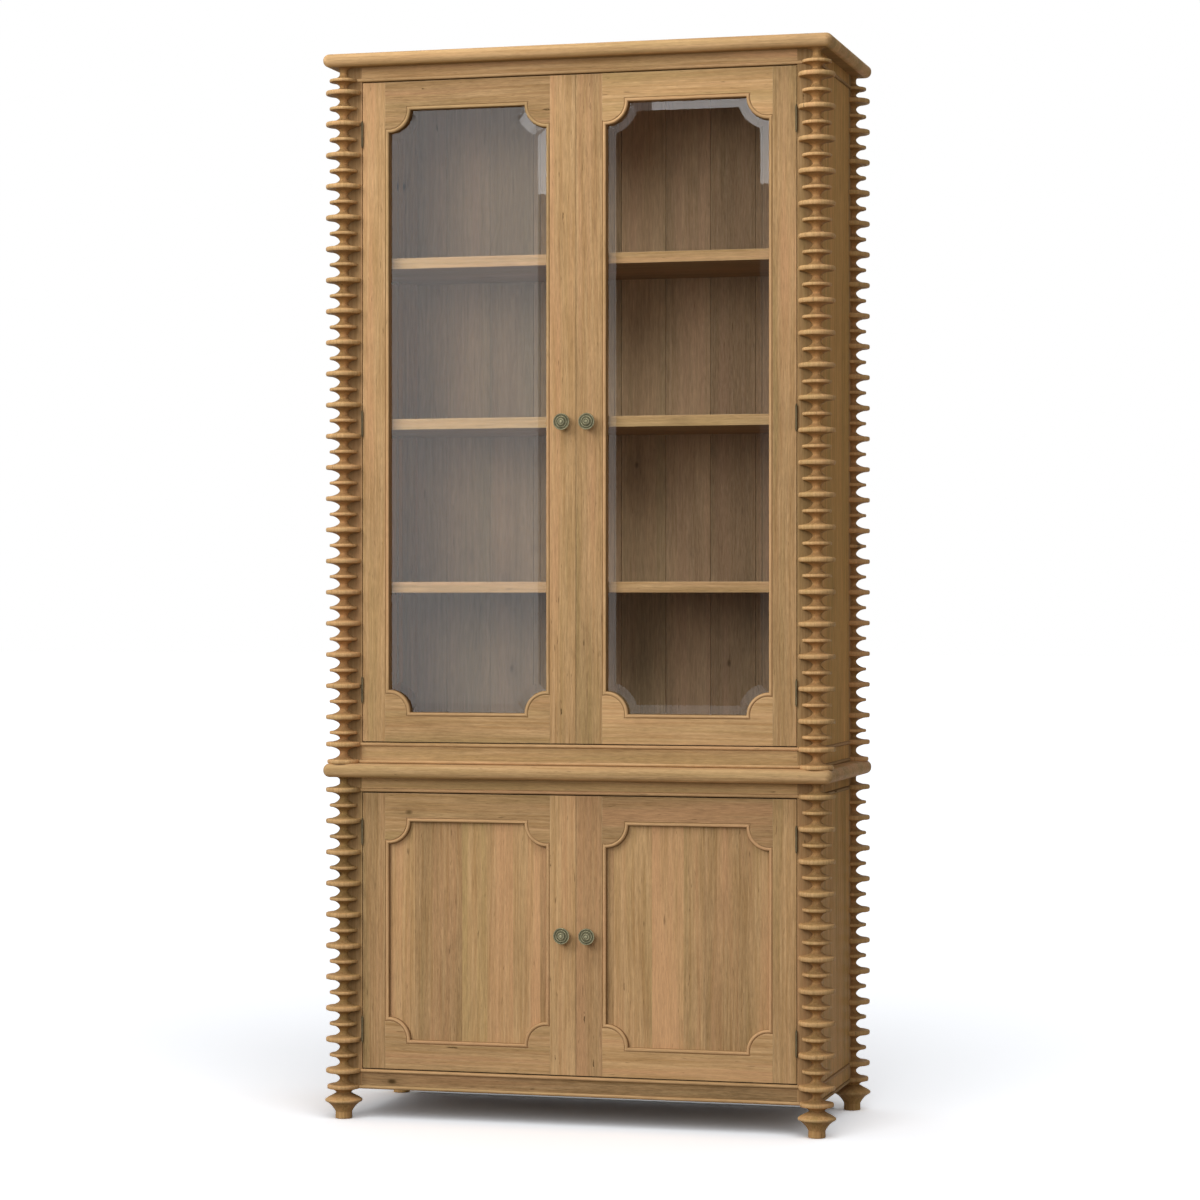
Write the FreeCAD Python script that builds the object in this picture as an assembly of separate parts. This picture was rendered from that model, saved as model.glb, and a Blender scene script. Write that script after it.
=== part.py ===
import FreeCAD, Part
import math
import os

# Display cabinet: a glazed upper case standing on a low cupboard, with a turned column of thin
# discs round each of the four corners. Millimetres, +Z up, front at -Y. The origin is on the
# floor, in the middle of the four feet.

# Case, measured between the axes of the corner columns
case_width = 1058.0
case_depth = 405.0
case_bottom = 66.0
post_width = 42.3
side_thickness = 18.0
tongue_thickness = 6.0
tongue_depth = 7.0
joint_slack = 0.2

# Turned columns
disc_pitch = 68.5
lower_disc_count = 10
upper_disc_count = 21
large_disc_radius = 39.5
small_disc_radius = 31.5
middle_disc_radius = 36.5
core_radius = 10.5
crown_radius = 21.0
large_rim = 8.8
small_rim = 5.8
middle_rim = 8.0
taper_share = 0.24

# Heights of the beads and boards, each one above the one before
apron_bead_rise = 39.5
lower_frieze_rise = 28.0
waist_thickness = 30.0
base_bead_rise = 42.0
base_small_rise = 25.3
base_first_rise = 59.6
top_small_rise = 27.4
top_frieze_rise = 28.0
top_thickness = 28.0
board_overhang = 39.0
board_corner_radius = 24.0
bullnose_share = 0.48

# Feet
foot_neck_height = 57.0
foot_neck_radius = 16.3
foot_base_radius = 17.2
foot_base_height = 12.0
foot_disc_radius = 41.0
foot_disc_bottom = 37.5
foot_disc_rim = 6.0
foot_hollow_radius = 24.0
foot_hollow_height = 27.5
foot_shoulder_radius = 24.0
foot_shoulder_height = 49.0
dowel_radius = 6.5
dowel_length = 24.0
dowel_slack = 0.1

# Beads planted across the rails and posts
bead_height = 8.0
bead_stand = 4.0
cope_gap = 0.3

# Boards of the inside
floor_thickness = 20.0
rail_thickness = 22.0
shelf_thickness = 23.5
shelf_top_heights = (1889.0, 1536.0, 1178.0)
lower_shelf_top = 424.0
shelf_setback = 6.5
shelf_slack = 1.0
pin_radius = 3.0
pin_length = 20.0
pin_slack = 0.05
pin_inset = 45.0
pin_seat_gap = 0.1

# Tongued and grooved boards of the back
back_thickness = 10.0
back_recess = 2.0
back_board_width = 103.8
back_tongue = 3.4
back_tongue_length = 5.5
back_tongue_slack = 0.4
back_seam = 0.4
back_chamfer = 1.5
back_housing = 5.5

# Doors
door_thickness = 22.0
door_gap = 2.4
meeting_gap = 2.0
hinge_gap = 2.6
meeting_stile = 66.0
hinge_stile = 60.0
top_door_rail = 62.0
bottom_door_rail = 64.0
scoop_radius = 49.0

# Bead round each door opening, and what it holds
frame_bead_width = 8.5
frame_bead_crown = 1.2
frame_bead_dip = 3.2
frame_bead_shoulder = 0.8
frame_bead_depth = 9.0
crown_place_share = 0.45
filling_slack = 0.4
glass_thickness = 5.0
glass_edge = 3.0
glass_bevel = 17.0
panel_thickness = 8.0
keeper_width = 8.0
keeper_setback = 0.5
keeper_end_gap = 1.0

# Knobs and the bolts through the stiles
knob_offset = 28.0
upper_knob_height = 1523.0
lower_knob_height = 414.0
knob_radius = 18.0
knob_reach = 25.0
knob_rose_radius = 10.0
knob_rose_height = 2.0
knob_stem_radius = 5.5
knob_stem_reach = 10.0
knob_rim_start = 16.0
knob_rim_height = 3.5
knob_ring_radius = 14.5
knob_ring_depth = 1.6
knob_dome_radius = 12.0
bolt_radius = 2.0
bolt_slack = 0.1
bolt_head_radius = 4.5
bolt_head_height = 2.2
bolt_bite = 9.0

# Butt hinges with turned tips
hinge_length = 50.0
leaf_thickness = 1.2
leaf_depth = 18.0
knuckle_radius = 3.1
hinge_pin_radius = 1.5
hinge_pin_slack = 0.05
knuckle_gap = 0.2
knuckle_share = 0.33
barrel_clear = 0.1
leaf_root = 0.15
leaf_relief = 0.25
tip_height = 4.5
tip_radius = 2.9
tip_end_radius = 1.8
upper_hinge_inset = 113.0
middle_hinge_drop = 25.0
lower_hinge_inset = 85.0

# Door stops and ball catches
stop_width = 90.0
stop_thickness = 15.0
stop_drop = 13.0
stop_gap = 0.3
catch_offset = 82.0
catch_radius = 4.0
catch_length = 12.0
catch_slack = 0.05
catch_ball_radius = 2.6
catch_ball_show = 1.6

# One overrun serves every cut
overrun = 5.0

# Places worked out from the sizes above
corner_x = case_width / 2
corner_y = case_depth / 2
front = -corner_y
apron_bead_height = case_bottom + apron_bead_rise
lower_frieze_bead_height = apron_bead_height + (lower_disc_count - 1) * disc_pitch
waist_bottom = lower_frieze_bead_height + lower_frieze_rise
waist_top = waist_bottom + waist_thickness
base_bead_height = waist_top + base_bead_rise
first_upper_disc_height = base_bead_height + base_first_rise
last_upper_disc_height = first_upper_disc_height + (upper_disc_count - 1) * disc_pitch
top_bead_height = last_upper_disc_height + top_small_rise
top_bottom = top_bead_height + top_frieze_rise
post_inner_x = corner_x - post_width
post_inner_y = corner_y - post_width
side_inner_x = corner_x - side_thickness
back_front_y = corner_y - back_recess - back_thickness
apron_top = apron_bead_height + bead_height / 2
lower_head_bottom = lower_frieze_bead_height - bead_height / 2
base_top = base_bead_height + bead_height / 2
upper_head_bottom = top_bead_height - bead_height / 2
door_back = front + door_thickness
shelf_front = door_back + shelf_setback
door_outer_x = post_inner_x - hinge_gap
door_inner_x = meeting_gap / 2
pin_x = post_inner_x - hinge_gap / 2
pin_y = front - knuckle_radius - barrel_clear
filling_front = front + frame_bead_depth

origin = FreeCAD.Vector(0, 0, 0)
x_axis = FreeCAD.Vector(1, 0, 0)
y_axis = FreeCAD.Vector(0, 1, 0)
z_axis = FreeCAD.Vector(0, 0, 1)


def export(name, solids):
    """Write one node, made of one or several separate solids."""
    pieces = solids if isinstance(solids, list) else [solids]
    shape = pieces[0] if len(pieces) == 1 else Part.makeCompound(pieces)
    shape.exportStep(os.path.join("parts", name + ".step"))


def block(x_low, x_high, y_low, y_high, z_low, z_high):
    corner = FreeCAD.Vector(x_low, y_low, z_low)
    return Part.makeBox(x_high - x_low, y_high - y_low, z_high - z_low, corner)


def rod(radius, start, end):
    """A round bar between two points."""
    return Part.makeCylinder(radius, start.distanceToPoint(end), start, end - start)


def flip_x(shape):
    return shape.mirror(origin, x_axis)


def flip_y(shape):
    return shape.mirror(origin, y_axis)


def pair(shape):
    """The right-hand piece and its left-hand twin."""
    return [shape, flip_x(shape)]


def polygon_face(points):
    return Part.Face(Part.makePolygon(points + [points[0]]))


def plan_prism(points, bottom, top):
    """A prism standing on an outline drawn in plan."""
    outline = [FreeCAD.Vector(x, y, bottom) for x, y in points]
    return polygon_face(outline).extrude(z_axis * (top - bottom))


def elevation_prism(points, y_low, y_high):
    """A prism laid from an outline drawn in elevation."""
    outline = [FreeCAD.Vector(x, y_low, z) for x, z in points]
    return polygon_face(outline).extrude(y_axis * (y_high - y_low))


def arc(start, middle, end):
    return Part.Arc(start, middle, end).toShape()


def disc_row(first, count, radius, rim):
    return [(first + step * disc_pitch, radius, rim) for step in range(count)]


def lower_column_discs():
    """The discs of a lower column, from the foot up: height, radius and rim."""
    half_pitch = disc_pitch / 2
    large = disc_row(apron_bead_height, lower_disc_count, large_disc_radius, large_rim)
    small = disc_row(apron_bead_height + half_pitch, lower_disc_count - 1, small_disc_radius, small_rim)
    base = (case_bottom + middle_rim / 2, middle_disc_radius, middle_rim)
    return sorted([base] + large + small)


def upper_column_discs():
    """The discs of an upper column, from the waist board up."""
    half_pitch = disc_pitch / 2
    large = disc_row(first_upper_disc_height, upper_disc_count, large_disc_radius, large_rim)
    small = disc_row(first_upper_disc_height + half_pitch, upper_disc_count - 1, small_disc_radius, small_rim)
    foot = (waist_top + middle_rim / 2, middle_disc_radius, middle_rim)
    bead = (base_bead_height, large_disc_radius, large_rim)
    low_small = (base_bead_height + base_small_rise, small_disc_radius, small_rim)
    high_small = (top_bead_height, small_disc_radius, small_rim)
    return sorted([foot, bead, low_small, high_small] + large + small)


def turned_outline(discs, top):
    """Half outline of a turned column: each rim runs by tapers into a short core.

    Two tapers and a straight core stand for each cove, so that the 248 discs keep few faces. At the
    top the core spreads into a crown under the board.
    """
    points = []
    edge_below = None
    for height, radius, rim in discs:
        low_edge = height - rim / 2
        if edge_below is not None:
            taper = (low_edge - edge_below) * taper_share
            points += [(core_radius, edge_below + taper), (core_radius, low_edge - taper)]
        edge_below = height + rim / 2
        points += [(radius, low_edge), (radius, edge_below)]
    taper = (top - edge_below) * taper_share
    points += [(core_radius, edge_below + taper), (core_radius, top - taper), (crown_radius, top)]
    return points


def engaged_column(discs, top):
    """A column turned whole, with the quarter left out that the corner of the case fills."""
    points = turned_outline(discs, top)
    bottom = points[0][1]
    outline = [FreeCAD.Vector(-radius, 0, height) for radius, height in points]
    outline = [FreeCAD.Vector(0, 0, bottom)] + outline + [FreeCAD.Vector(0, 0, top)]
    turned = polygon_face(outline).revolve(origin, z_axis, 270)
    return turned.translated(FreeCAD.Vector(corner_x, front, 0))


def dowel_hole():
    start = FreeCAD.Vector(corner_x, front, foot_neck_height - overrun)
    end = FreeCAD.Vector(corner_x, front, foot_neck_height + dowel_length + joint_slack)
    return rod(dowel_radius + dowel_slack, start, end)


def lower_column():
    """A lower column: above the foot it starts as a full round that the case corner sits on."""
    shaft = engaged_column(lower_column_discs(), waist_bottom)
    seat_height = case_bottom - foot_neck_height
    place = FreeCAD.Vector(corner_x, front, foot_neck_height)
    seat = Part.makeCone(foot_neck_radius, middle_disc_radius, seat_height, place)
    return shaft.fuse(seat).cut(dowel_hole())


def upper_column():
    return engaged_column(upper_column_discs(), top_bottom)


def foot():
    """A turned foot: a hollowed cone under a thin disc, with a dowel up into the corner."""
    disc_top = foot_disc_bottom + foot_disc_rim
    base_foot = FreeCAD.Vector(foot_base_radius, 0, 0)
    base_top_point = FreeCAD.Vector(foot_base_radius, 0, foot_base_height)
    disc_low = FreeCAD.Vector(foot_disc_radius, 0, foot_disc_bottom)
    disc_high = FreeCAD.Vector(foot_disc_radius, 0, disc_top)
    neck = FreeCAD.Vector(foot_neck_radius, 0, foot_neck_height)
    neck_middle = FreeCAD.Vector(0, 0, foot_neck_height)
    hollow = FreeCAD.Vector(foot_hollow_radius, 0, foot_hollow_height)
    shoulder = FreeCAD.Vector(foot_shoulder_radius, 0, foot_shoulder_height)
    edges = [
        Part.makeLine(origin, base_foot),
        Part.makeLine(base_foot, base_top_point),
        arc(base_top_point, hollow, disc_low),
        Part.makeLine(disc_low, disc_high),
        arc(disc_high, shoulder, neck),
        Part.makeLine(neck, neck_middle),
        Part.makeLine(neck_middle, origin),
    ]
    turned = Part.Face(Part.Wire(edges)).revolve(origin, z_axis, 360)
    dowel = rod(dowel_radius, neck_middle, neck_middle + z_axis * dowel_length)
    return turned.fuse(dowel).translated(FreeCAD.Vector(corner_x, front, 0))


def corner_post(bottom, top):
    """A square post whose outer corner is the column's axis, grooved for the side panel."""
    post = block(post_inner_x, corner_x, front, -post_inner_y, bottom, top)
    middle = corner_x - side_thickness / 2
    half = (tongue_thickness + joint_slack) / 2
    groove_floor = -post_inner_y - tongue_depth - joint_slack
    groove = block(middle - half, middle + half, groove_floor, -post_inner_y + overrun,
                   bottom - overrun, top + overrun)
    return post.cut(groove)


def back_post(bottom, top):
    """The same post at the back, with a second groove that houses the last back board."""
    post = flip_y(corner_post(bottom, top))
    groove = block(post_inner_x - overrun, post_inner_x + back_housing + joint_slack,
                   back_front_y - joint_slack, back_front_y + back_thickness + joint_slack,
                   bottom - overrun, top + overrun)
    return post.cut(groove)


def corner_posts(bottom, top):
    return pair(corner_post(bottom, top)) + pair(back_post(bottom, top))


def bored_for_feet(posts):
    """The lower posts, each with its quarter of the hole for a foot's dowel."""
    holes = Part.makeCompound(pair(dowel_hole()) + pair(flip_y(dowel_hole())))
    return [post.cut(holes) for post in posts]


def side_panel(bottom, top, shelf_tops):
    """The right side: a flush panel tongued into both posts and bored for the shelf pins."""
    panel = block(side_inner_x, corner_x, -post_inner_y, post_inner_y, bottom, top)
    middle = corner_x - side_thickness / 2
    half = tongue_thickness / 2
    reach = post_inner_y + tongue_depth
    panel = panel.fuse(block(middle - half, middle + half, -reach, reach, bottom, top))
    bores = [shelf_pin(height, place, pin_slack) for height in shelf_tops for place in pin_places()]
    return panel.removeSplitter().cut(Part.makeCompound(bores))


def pin_places():
    return (-post_inner_y + pin_inset, post_inner_y - pin_inset)


def shelf_pin(shelf_top, place, grow):
    """A round pin, half in the side and half under the shelf, or its bore when grown."""
    height = shelf_top - shelf_thickness - pin_radius - pin_seat_gap
    inner = FreeCAD.Vector(side_inner_x - pin_length / 2, place, height)
    outer = FreeCAD.Vector(side_inner_x + pin_length / 2 + grow, place, height)
    return rod(pin_radius + grow, inner, outer)


def shelf_pins(shelf_tops):
    pins = []
    for height in shelf_tops:
        for place in pin_places():
            pins += pair(shelf_pin(height, place, 0))
    return pins


def notched_board(top, thickness, y_low, y_high, slack):
    """A shelf or floor that fills the case from side to side, notched round the posts."""
    wide = side_inner_x - slack
    narrow = post_inner_x - slack
    step = post_inner_y - slack
    right = [(narrow, y_low), (narrow, -step), (wide, -step), (wide, step), (narrow, step), (narrow, y_high)]
    left = [(-x, y) for x, y in reversed(right)]
    return plan_prism(right + left, top - thickness, top)


def case_floor(top):
    return notched_board(top, floor_thickness, front + rail_thickness, back_front_y, 0)


def shelf(top):
    return notched_board(top, shelf_thickness, shelf_front, back_front_y - shelf_slack, shelf_slack)


def bullnosed_board(bottom, thickness):
    """A board with rounded corners in plan and a half-round edge all round."""
    half_x = corner_x + board_overhang
    half_y = corner_y + board_overhang
    board = block(-half_x, half_x, -half_y, half_y, bottom, bottom + thickness)
    upright = [edge for edge in board.Edges if abs(edge.tangentAt(0).z) > math.cos(math.pi / 4)]
    board = board.makeFillet(board_corner_radius, upright)
    level = [edge for edge in board.Edges if is_level(edge)]
    return board.makeFillet(thickness * bullnose_share, level)


def is_level(edge):
    """Whether all of an edge is at one height."""
    return edge.BoundBox.ZLength < joint_slack


def front_rail(bottom, top):
    """A rail between the front posts, its face flush with theirs."""
    return block(-post_inner_x, post_inner_x, front, front + rail_thickness, bottom, top)


def head_rail(bottom, top):
    """A front rail over a pair of doors, bored from below for the ball catches."""
    return front_rail(bottom, top).cut(Part.makeCompound(pair(catch_bore(bottom))))


def half_round(centre_height):
    """Section of a planted bead on the front plane, as a face across X."""
    low = FreeCAD.Vector(0, front, centre_height - bead_height / 2)
    high = FreeCAD.Vector(0, front, centre_height + bead_height / 2)
    crown = FreeCAD.Vector(0, front - bead_stand, centre_height)
    return Part.Face(Part.Wire([arc(low, crown, high), Part.makeLine(high, low)]))


def cope_cutters(centre_height, radius):
    """Four upright cylinders, a little larger than the discs that the beads run up to."""
    start = FreeCAD.Vector(corner_x, front, centre_height - bead_height)
    cutter = rod(radius + cope_gap, start, start + z_axis * (bead_height * 2))
    return Part.makeCompound(pair(cutter) + pair(flip_y(cutter)))


def planted_beads(centre_height, disc_radius):
    """A half-round bead on the front and on both sides, coped to the column discs."""
    front_bead = half_round(centre_height).translated(x_axis * -corner_x).extrude(x_axis * case_width)
    section = half_round(centre_height).rotated(origin, z_axis, 90)
    reach = FreeCAD.Vector(corner_x + front, -corner_y, 0)
    side_bead = section.translated(reach).extrude(y_axis * case_depth)
    cutters = cope_cutters(centre_height, disc_radius)
    return [front_bead.cut(cutters)] + pair(side_bead.cut(cutters))


def back_seams():
    """Where the back boards meet, from left to right, with both housed ends."""
    full_boards = int(post_inner_x // back_board_width)
    seams = [step * back_board_width for step in range(-full_boards, full_boards + 1)]
    reach = post_inner_x + back_housing
    return [-reach] + seams + [reach]


def back_board(left, right, bottom, top, has_groove, has_tongue):
    """One back board in plan: groove at its left edge, tongue at its right, chamfered seams."""
    face = back_front_y
    rear = face + back_thickness
    low = face + (back_thickness - back_tongue) / 2
    high = low + back_tongue
    slack = back_tongue_slack / 2
    depth = back_tongue_length + back_tongue_slack
    points = [(left, rear)]
    if has_groove:
        points += [(left, high + slack), (left + depth, high + slack), (left + depth, low - slack)]
        points += [(left, low - slack), (left, face + back_chamfer), (left + back_chamfer, face)]
    else:
        points += [(left, face)]
    if has_tongue:
        points += [(right - back_chamfer, face), (right, face + back_chamfer), (right, low)]
        points += [(right + back_tongue_length, low), (right + back_tongue_length, high), (right, high)]
    else:
        points += [(right, face)]
    return plan_prism(points + [(right, rear)], bottom, top)


def back_boards(bottom, top):
    seams = back_seams()
    last = len(seams) - 2
    boards = []
    for index in range(last + 1):
        left = seams[index] + (back_seam / 2 if index > 0 else 0)
        right = seams[index + 1] - (back_seam / 2 if index < last else 0)
        boards.append(back_board(left, right, bottom, top, index > 0, index < last))
    return boards


class Opening:
    """The clear opening of a right-hand door, with quarter-round lobes let into its corners."""

    def __init__(self, bottom, top):
        self.left = door_inner_x + meeting_stile
        self.right = door_outer_x - hinge_stile
        self.low = bottom + bottom_door_rail
        self.high = top - top_door_rail
        self.middle = FreeCAD.Vector((self.left + self.right) / 2, 0, (self.low + self.high) / 2)

    def lobe_reach(self, offset):
        """How far along a side the lobe runs, for an outline moved outward by the offset."""
        return math.sqrt((scoop_radius - offset) ** 2 - offset ** 2)

    def outline(self, offset, y):
        """The whole outline as a wire in elevation, moved outward by the offset."""
        reach = self.lobe_reach(offset)
        bulge = (scoop_radius - offset) * math.sqrt(1 / 2)
        corners = (
            (self.left, self.low, 1, 1),
            (self.left, self.high, 1, -1),
            (self.right, self.high, -1, -1),
            (self.right, self.low, -1, 1),
        )
        points = []
        for x, z, to_right, to_top in corners:
            beside = FreeCAD.Vector(x - offset * to_right, y, z + reach * to_top)
            inside = FreeCAD.Vector(x + bulge * to_right, y, z + bulge * to_top)
            along = FreeCAD.Vector(x + reach * to_right, y, z - offset * to_top)
            turns_first = to_right * to_top > 0
            points.append((along, inside, beside) if turns_first else (beside, inside, along))
        edges = []
        for index, (start, inside, end) in enumerate(points):
            following = points[(index + 1) % len(points)][0]
            edges += [arc(start, inside, end), Part.makeLine(end, following)]
        return Part.Wire(edges)

    def plate(self, offset, y_low, y_high):
        return Part.Face(self.outline(offset, y_low)).extrude(y_axis * (y_high - y_low))

    def four_ways(self, shape):
        """A corner piece and its three mirrored twins."""
        right = shape.mirror(self.middle, x_axis)
        return [shape, right, shape.mirror(self.middle, z_axis), right.mirror(self.middle, z_axis)]


def door_rail(opening, edge):
    """A door rail with both scooped corners, from the door's edge to the opening."""
    offset = frame_bead_width
    reach = opening.lobe_reach(offset)
    is_bottom = edge < opening.low
    level = opening.low if is_bottom else opening.high
    up = 1 if is_bottom else -1
    bulge = (scoop_radius - offset) * math.sqrt(1 / 2)
    horn = level + reach * up
    inner = level - offset * up
    left = opening.left
    right = opening.right
    left_tip = FreeCAD.Vector(left - offset, front, horn)
    left_root = FreeCAD.Vector(left + reach, front, inner)
    right_root = FreeCAD.Vector(right - reach, front, inner)
    right_tip = FreeCAD.Vector(right + offset, front, horn)
    right_edge = FreeCAD.Vector(right + offset, front, edge)
    left_edge = FreeCAD.Vector(left - offset, front, edge)
    edges = [
        arc(left_tip, FreeCAD.Vector(left + bulge, front, level + bulge * up), left_root),
        Part.makeLine(left_root, right_root),
        arc(right_root, FreeCAD.Vector(right - bulge, front, level + bulge * up), right_tip),
        Part.makeLine(right_tip, right_edge),
        Part.makeLine(right_edge, left_edge),
        Part.makeLine(left_edge, left_tip),
    ]
    return Part.Face(Part.Wire(edges)).extrude(y_axis * door_thickness)


def door_frame(opening, bottom, top, knob_height):
    """Two full-height stiles and two rails, the meeting stile bored for the knob's bolt."""
    offset = frame_bead_width
    meeting = block(door_inner_x, opening.left - offset, front, door_back, bottom, top)
    hinged = block(opening.right + offset, door_outer_x, front, door_back, bottom, top)
    start = FreeCAD.Vector(knob_offset, front - overrun, knob_height)
    bore = rod(bolt_radius + bolt_slack, start, start + y_axis * (door_thickness + overrun * 2))
    return [meeting.cut(bore), hinged, door_rail(opening, bottom), door_rail(opening, top)]


def bead_section(across):
    """Section of the bead round an opening, from its inner edge outward along a direction."""
    inner_front = y_axis * (front + frame_bead_dip)
    crown = across * (frame_bead_width * crown_place_share) + y_axis * (front - frame_bead_crown)
    outer_front = across * frame_bead_width + y_axis * (front + frame_bead_shoulder)
    outer_back = across * frame_bead_width + y_axis * filling_front
    inner_back = y_axis * filling_front
    edges = [
        arc(inner_front, crown, outer_front),
        Part.makeLine(outer_front, outer_back),
        Part.makeLine(outer_back, inner_back),
        Part.makeLine(inner_back, inner_front),
    ]
    return Part.Face(Part.Wire(edges))


def mask(points):
    """A tall prism in elevation that trims a bead to its mitres."""
    return elevation_prism(points, front - overrun, filling_front + overrun)


def corner_bead(opening):
    """The bead round the lower left lobe, mitred at both ends."""
    reach = opening.lobe_reach(frame_bead_width)
    x = opening.left
    z = opening.low
    far = scoop_radius + overrun
    section = bead_section(z_axis * -1).translated(FreeCAD.Vector(x, 0, z + scoop_radius))
    centre = FreeCAD.Vector(x, 0, z)
    lead = math.degrees(math.asin(frame_bead_width / (scoop_radius - frame_bead_width))) * 2
    section.rotate(centre, y_axis, -lead)
    ring = section.revolve(centre, y_axis, math.degrees(math.pi / 2) + lead * 2)
    points = [(x - frame_bead_width, z + reach), (x, z + scoop_radius), (x + far, z + far)]
    points += [(x + scoop_radius, z), (x + reach, z - frame_bead_width)]
    points += [(x - frame_bead_width, z - frame_bead_width)]
    return ring.common(mask(points))


def bottom_bead(opening):
    """The straight bead along the bottom rail, mitred at both ends."""
    reach = opening.lobe_reach(frame_bead_width)
    section = bead_section(z_axis * -1).translated(FreeCAD.Vector(opening.left, 0, opening.low))
    length = opening.right - opening.left
    outer = opening.low - frame_bead_width
    points = [(opening.left + scoop_radius, opening.low), (opening.right - scoop_radius, opening.low)]
    points += [(opening.right - reach, outer), (opening.left + reach, outer)]
    return section.extrude(x_axis * length).common(mask(points))


def left_bead(opening):
    """The straight bead along the meeting stile, mitred at both ends."""
    reach = opening.lobe_reach(frame_bead_width)
    section = bead_section(x_axis * -1).translated(FreeCAD.Vector(opening.left, 0, opening.low))
    length = opening.high - opening.low
    outer = opening.left - frame_bead_width
    points = [(opening.left, opening.low + scoop_radius), (opening.left, opening.high - scoop_radius)]
    points += [(outer, opening.high - reach), (outer, opening.low + reach)]
    return section.extrude(z_axis * length).common(mask(points))


def keeper_strips(opening, filling_back):
    """Four plain strips that hold the glass or panel from behind."""
    reach = opening.lobe_reach(frame_bead_width) + keeper_end_gap
    back = door_back - keeper_setback
    outer_low = opening.low - frame_bead_width
    outer_left = opening.left - frame_bead_width
    bottom = block(opening.left + reach, opening.right - reach, filling_back, back,
                   outer_low, outer_low + keeper_width)
    left = block(outer_left, outer_left + keeper_width, filling_back, back,
                 opening.low + reach, opening.high - reach)
    return [bottom, bottom.mirror(opening.middle, z_axis), left, left.mirror(opening.middle, x_axis)]


def door_beads(opening, filling_back):
    """Eight mitred lengths of bead in front of the filling and four strips behind it."""
    bottom = bottom_bead(opening)
    left = left_bead(opening)
    straight = [bottom, bottom.mirror(opening.middle, z_axis), left, left.mirror(opening.middle, x_axis)]
    return straight + opening.four_ways(corner_bead(opening)) + keeper_strips(opening, filling_back)


def bevelled_glass(opening):
    """A pane that follows the scooped outline, bevelled on its front face."""
    edge_offset = frame_bead_width - filling_slack
    back = opening.outline(edge_offset, filling_front + glass_thickness)
    edge = opening.outline(edge_offset, filling_front + glass_thickness - glass_edge)
    face = opening.outline(-glass_bevel, filling_front)
    return Part.makeLoft([back, edge, face], True, True)


def flat_panel(opening):
    edge_offset = frame_bead_width - filling_slack
    return opening.plate(edge_offset, filling_front, filling_front + panel_thickness)


def knob(height):
    """A turned knob with a raised rim and a low dome, and the bolt that holds it."""
    def at(radius, reach):
        return FreeCAD.Vector(radius, -reach, 0)

    rim_end = knob_rim_start + knob_rim_height
    ring_floor = rim_end - knob_ring_depth
    rise = knob_reach - ring_floor
    dome_ball = (knob_dome_radius ** 2 + rise ** 2) / (2 * rise)
    half_turn = math.asin(knob_dome_radius / dome_ball) / 2
    dome_side = at(dome_ball * math.sin(half_turn), knob_reach - dome_ball * (1 - math.cos(half_turn)))
    edges = [
        Part.makeLine(at(0, 0), at(knob_rose_radius, 0)),
        Part.makeLine(at(knob_rose_radius, 0), at(knob_rose_radius, knob_rose_height)),
        Part.makeLine(at(knob_rose_radius, knob_rose_height), at(knob_stem_radius, knob_rose_height)),
        Part.makeLine(at(knob_stem_radius, knob_rose_height), at(knob_stem_radius, knob_stem_reach)),
        Part.makeLine(at(knob_stem_radius, knob_stem_reach), at(knob_radius, knob_rim_start)),
        Part.makeLine(at(knob_radius, knob_rim_start), at(knob_radius, rim_end)),
        Part.makeLine(at(knob_radius, rim_end), at(knob_ring_radius, rim_end)),
        Part.makeLine(at(knob_ring_radius, rim_end), at(knob_ring_radius, ring_floor)),
        Part.makeLine(at(knob_ring_radius, ring_floor), at(knob_dome_radius, ring_floor)),
        arc(at(knob_dome_radius, ring_floor), dome_side, at(0, knob_reach)),
        Part.makeLine(at(0, knob_reach), at(0, 0)),
    ]
    turned = Part.Face(Part.Wire(edges)).revolve(origin, y_axis, 360)
    bolt_hole = rod(bolt_radius + bolt_slack, y_axis * overrun, y_axis * (-bolt_bite - joint_slack))
    shank = rod(bolt_radius, y_axis * door_thickness, y_axis * -bolt_bite)
    head = rod(bolt_head_radius, y_axis * door_thickness, y_axis * (door_thickness + bolt_head_height))
    place = FreeCAD.Vector(knob_offset, front, height)
    return [turned.cut(bolt_hole).translated(place), shank.fuse(head).translated(place)]


def knuckle_spans(centre):
    """The low, middle and high knuckle of a hinge, as pairs of heights."""
    bottom = centre - hinge_length / 2
    top = centre + hinge_length / 2
    low_end = bottom + hinge_length * knuckle_share
    high_start = top - hinge_length * knuckle_share
    return [(bottom, low_end), (low_end + knuckle_gap, high_start - knuckle_gap), (high_start, top)]


def barrel(radius, span, overlap):
    start = FreeCAD.Vector(pin_x, pin_y, span[0] - overlap)
    return rod(radius, start, FreeCAD.Vector(pin_x, pin_y, span[1] + overlap))


def hinge_leaf(centre, outer_face, towards_pin, own_spans, other_spans):
    """A leaf let into the gap beside the door, with its knuckles and clear of the other's."""
    x_low, x_high = sorted((outer_face, outer_face + leaf_thickness * towards_pin))
    start = pin_y + hinge_pin_radius + leaf_root
    bottom = centre - hinge_length / 2
    top = centre + hinge_length / 2
    leaf = block(x_low, x_high, start, front + leaf_depth, bottom, top)
    for span in own_spans:
        leaf = leaf.fuse(barrel(knuckle_radius, span, 0))
    for low, high in other_spans:
        relief_end = pin_y + knuckle_radius + leaf_relief
        relief = block(x_low, x_high, start, relief_end, low - knuckle_gap, high + knuckle_gap)
        leaf = leaf.cut(relief)
    bore = barrel(hinge_pin_radius + hinge_pin_slack, (bottom, top), overrun)
    return leaf.cut(bore)


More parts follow.
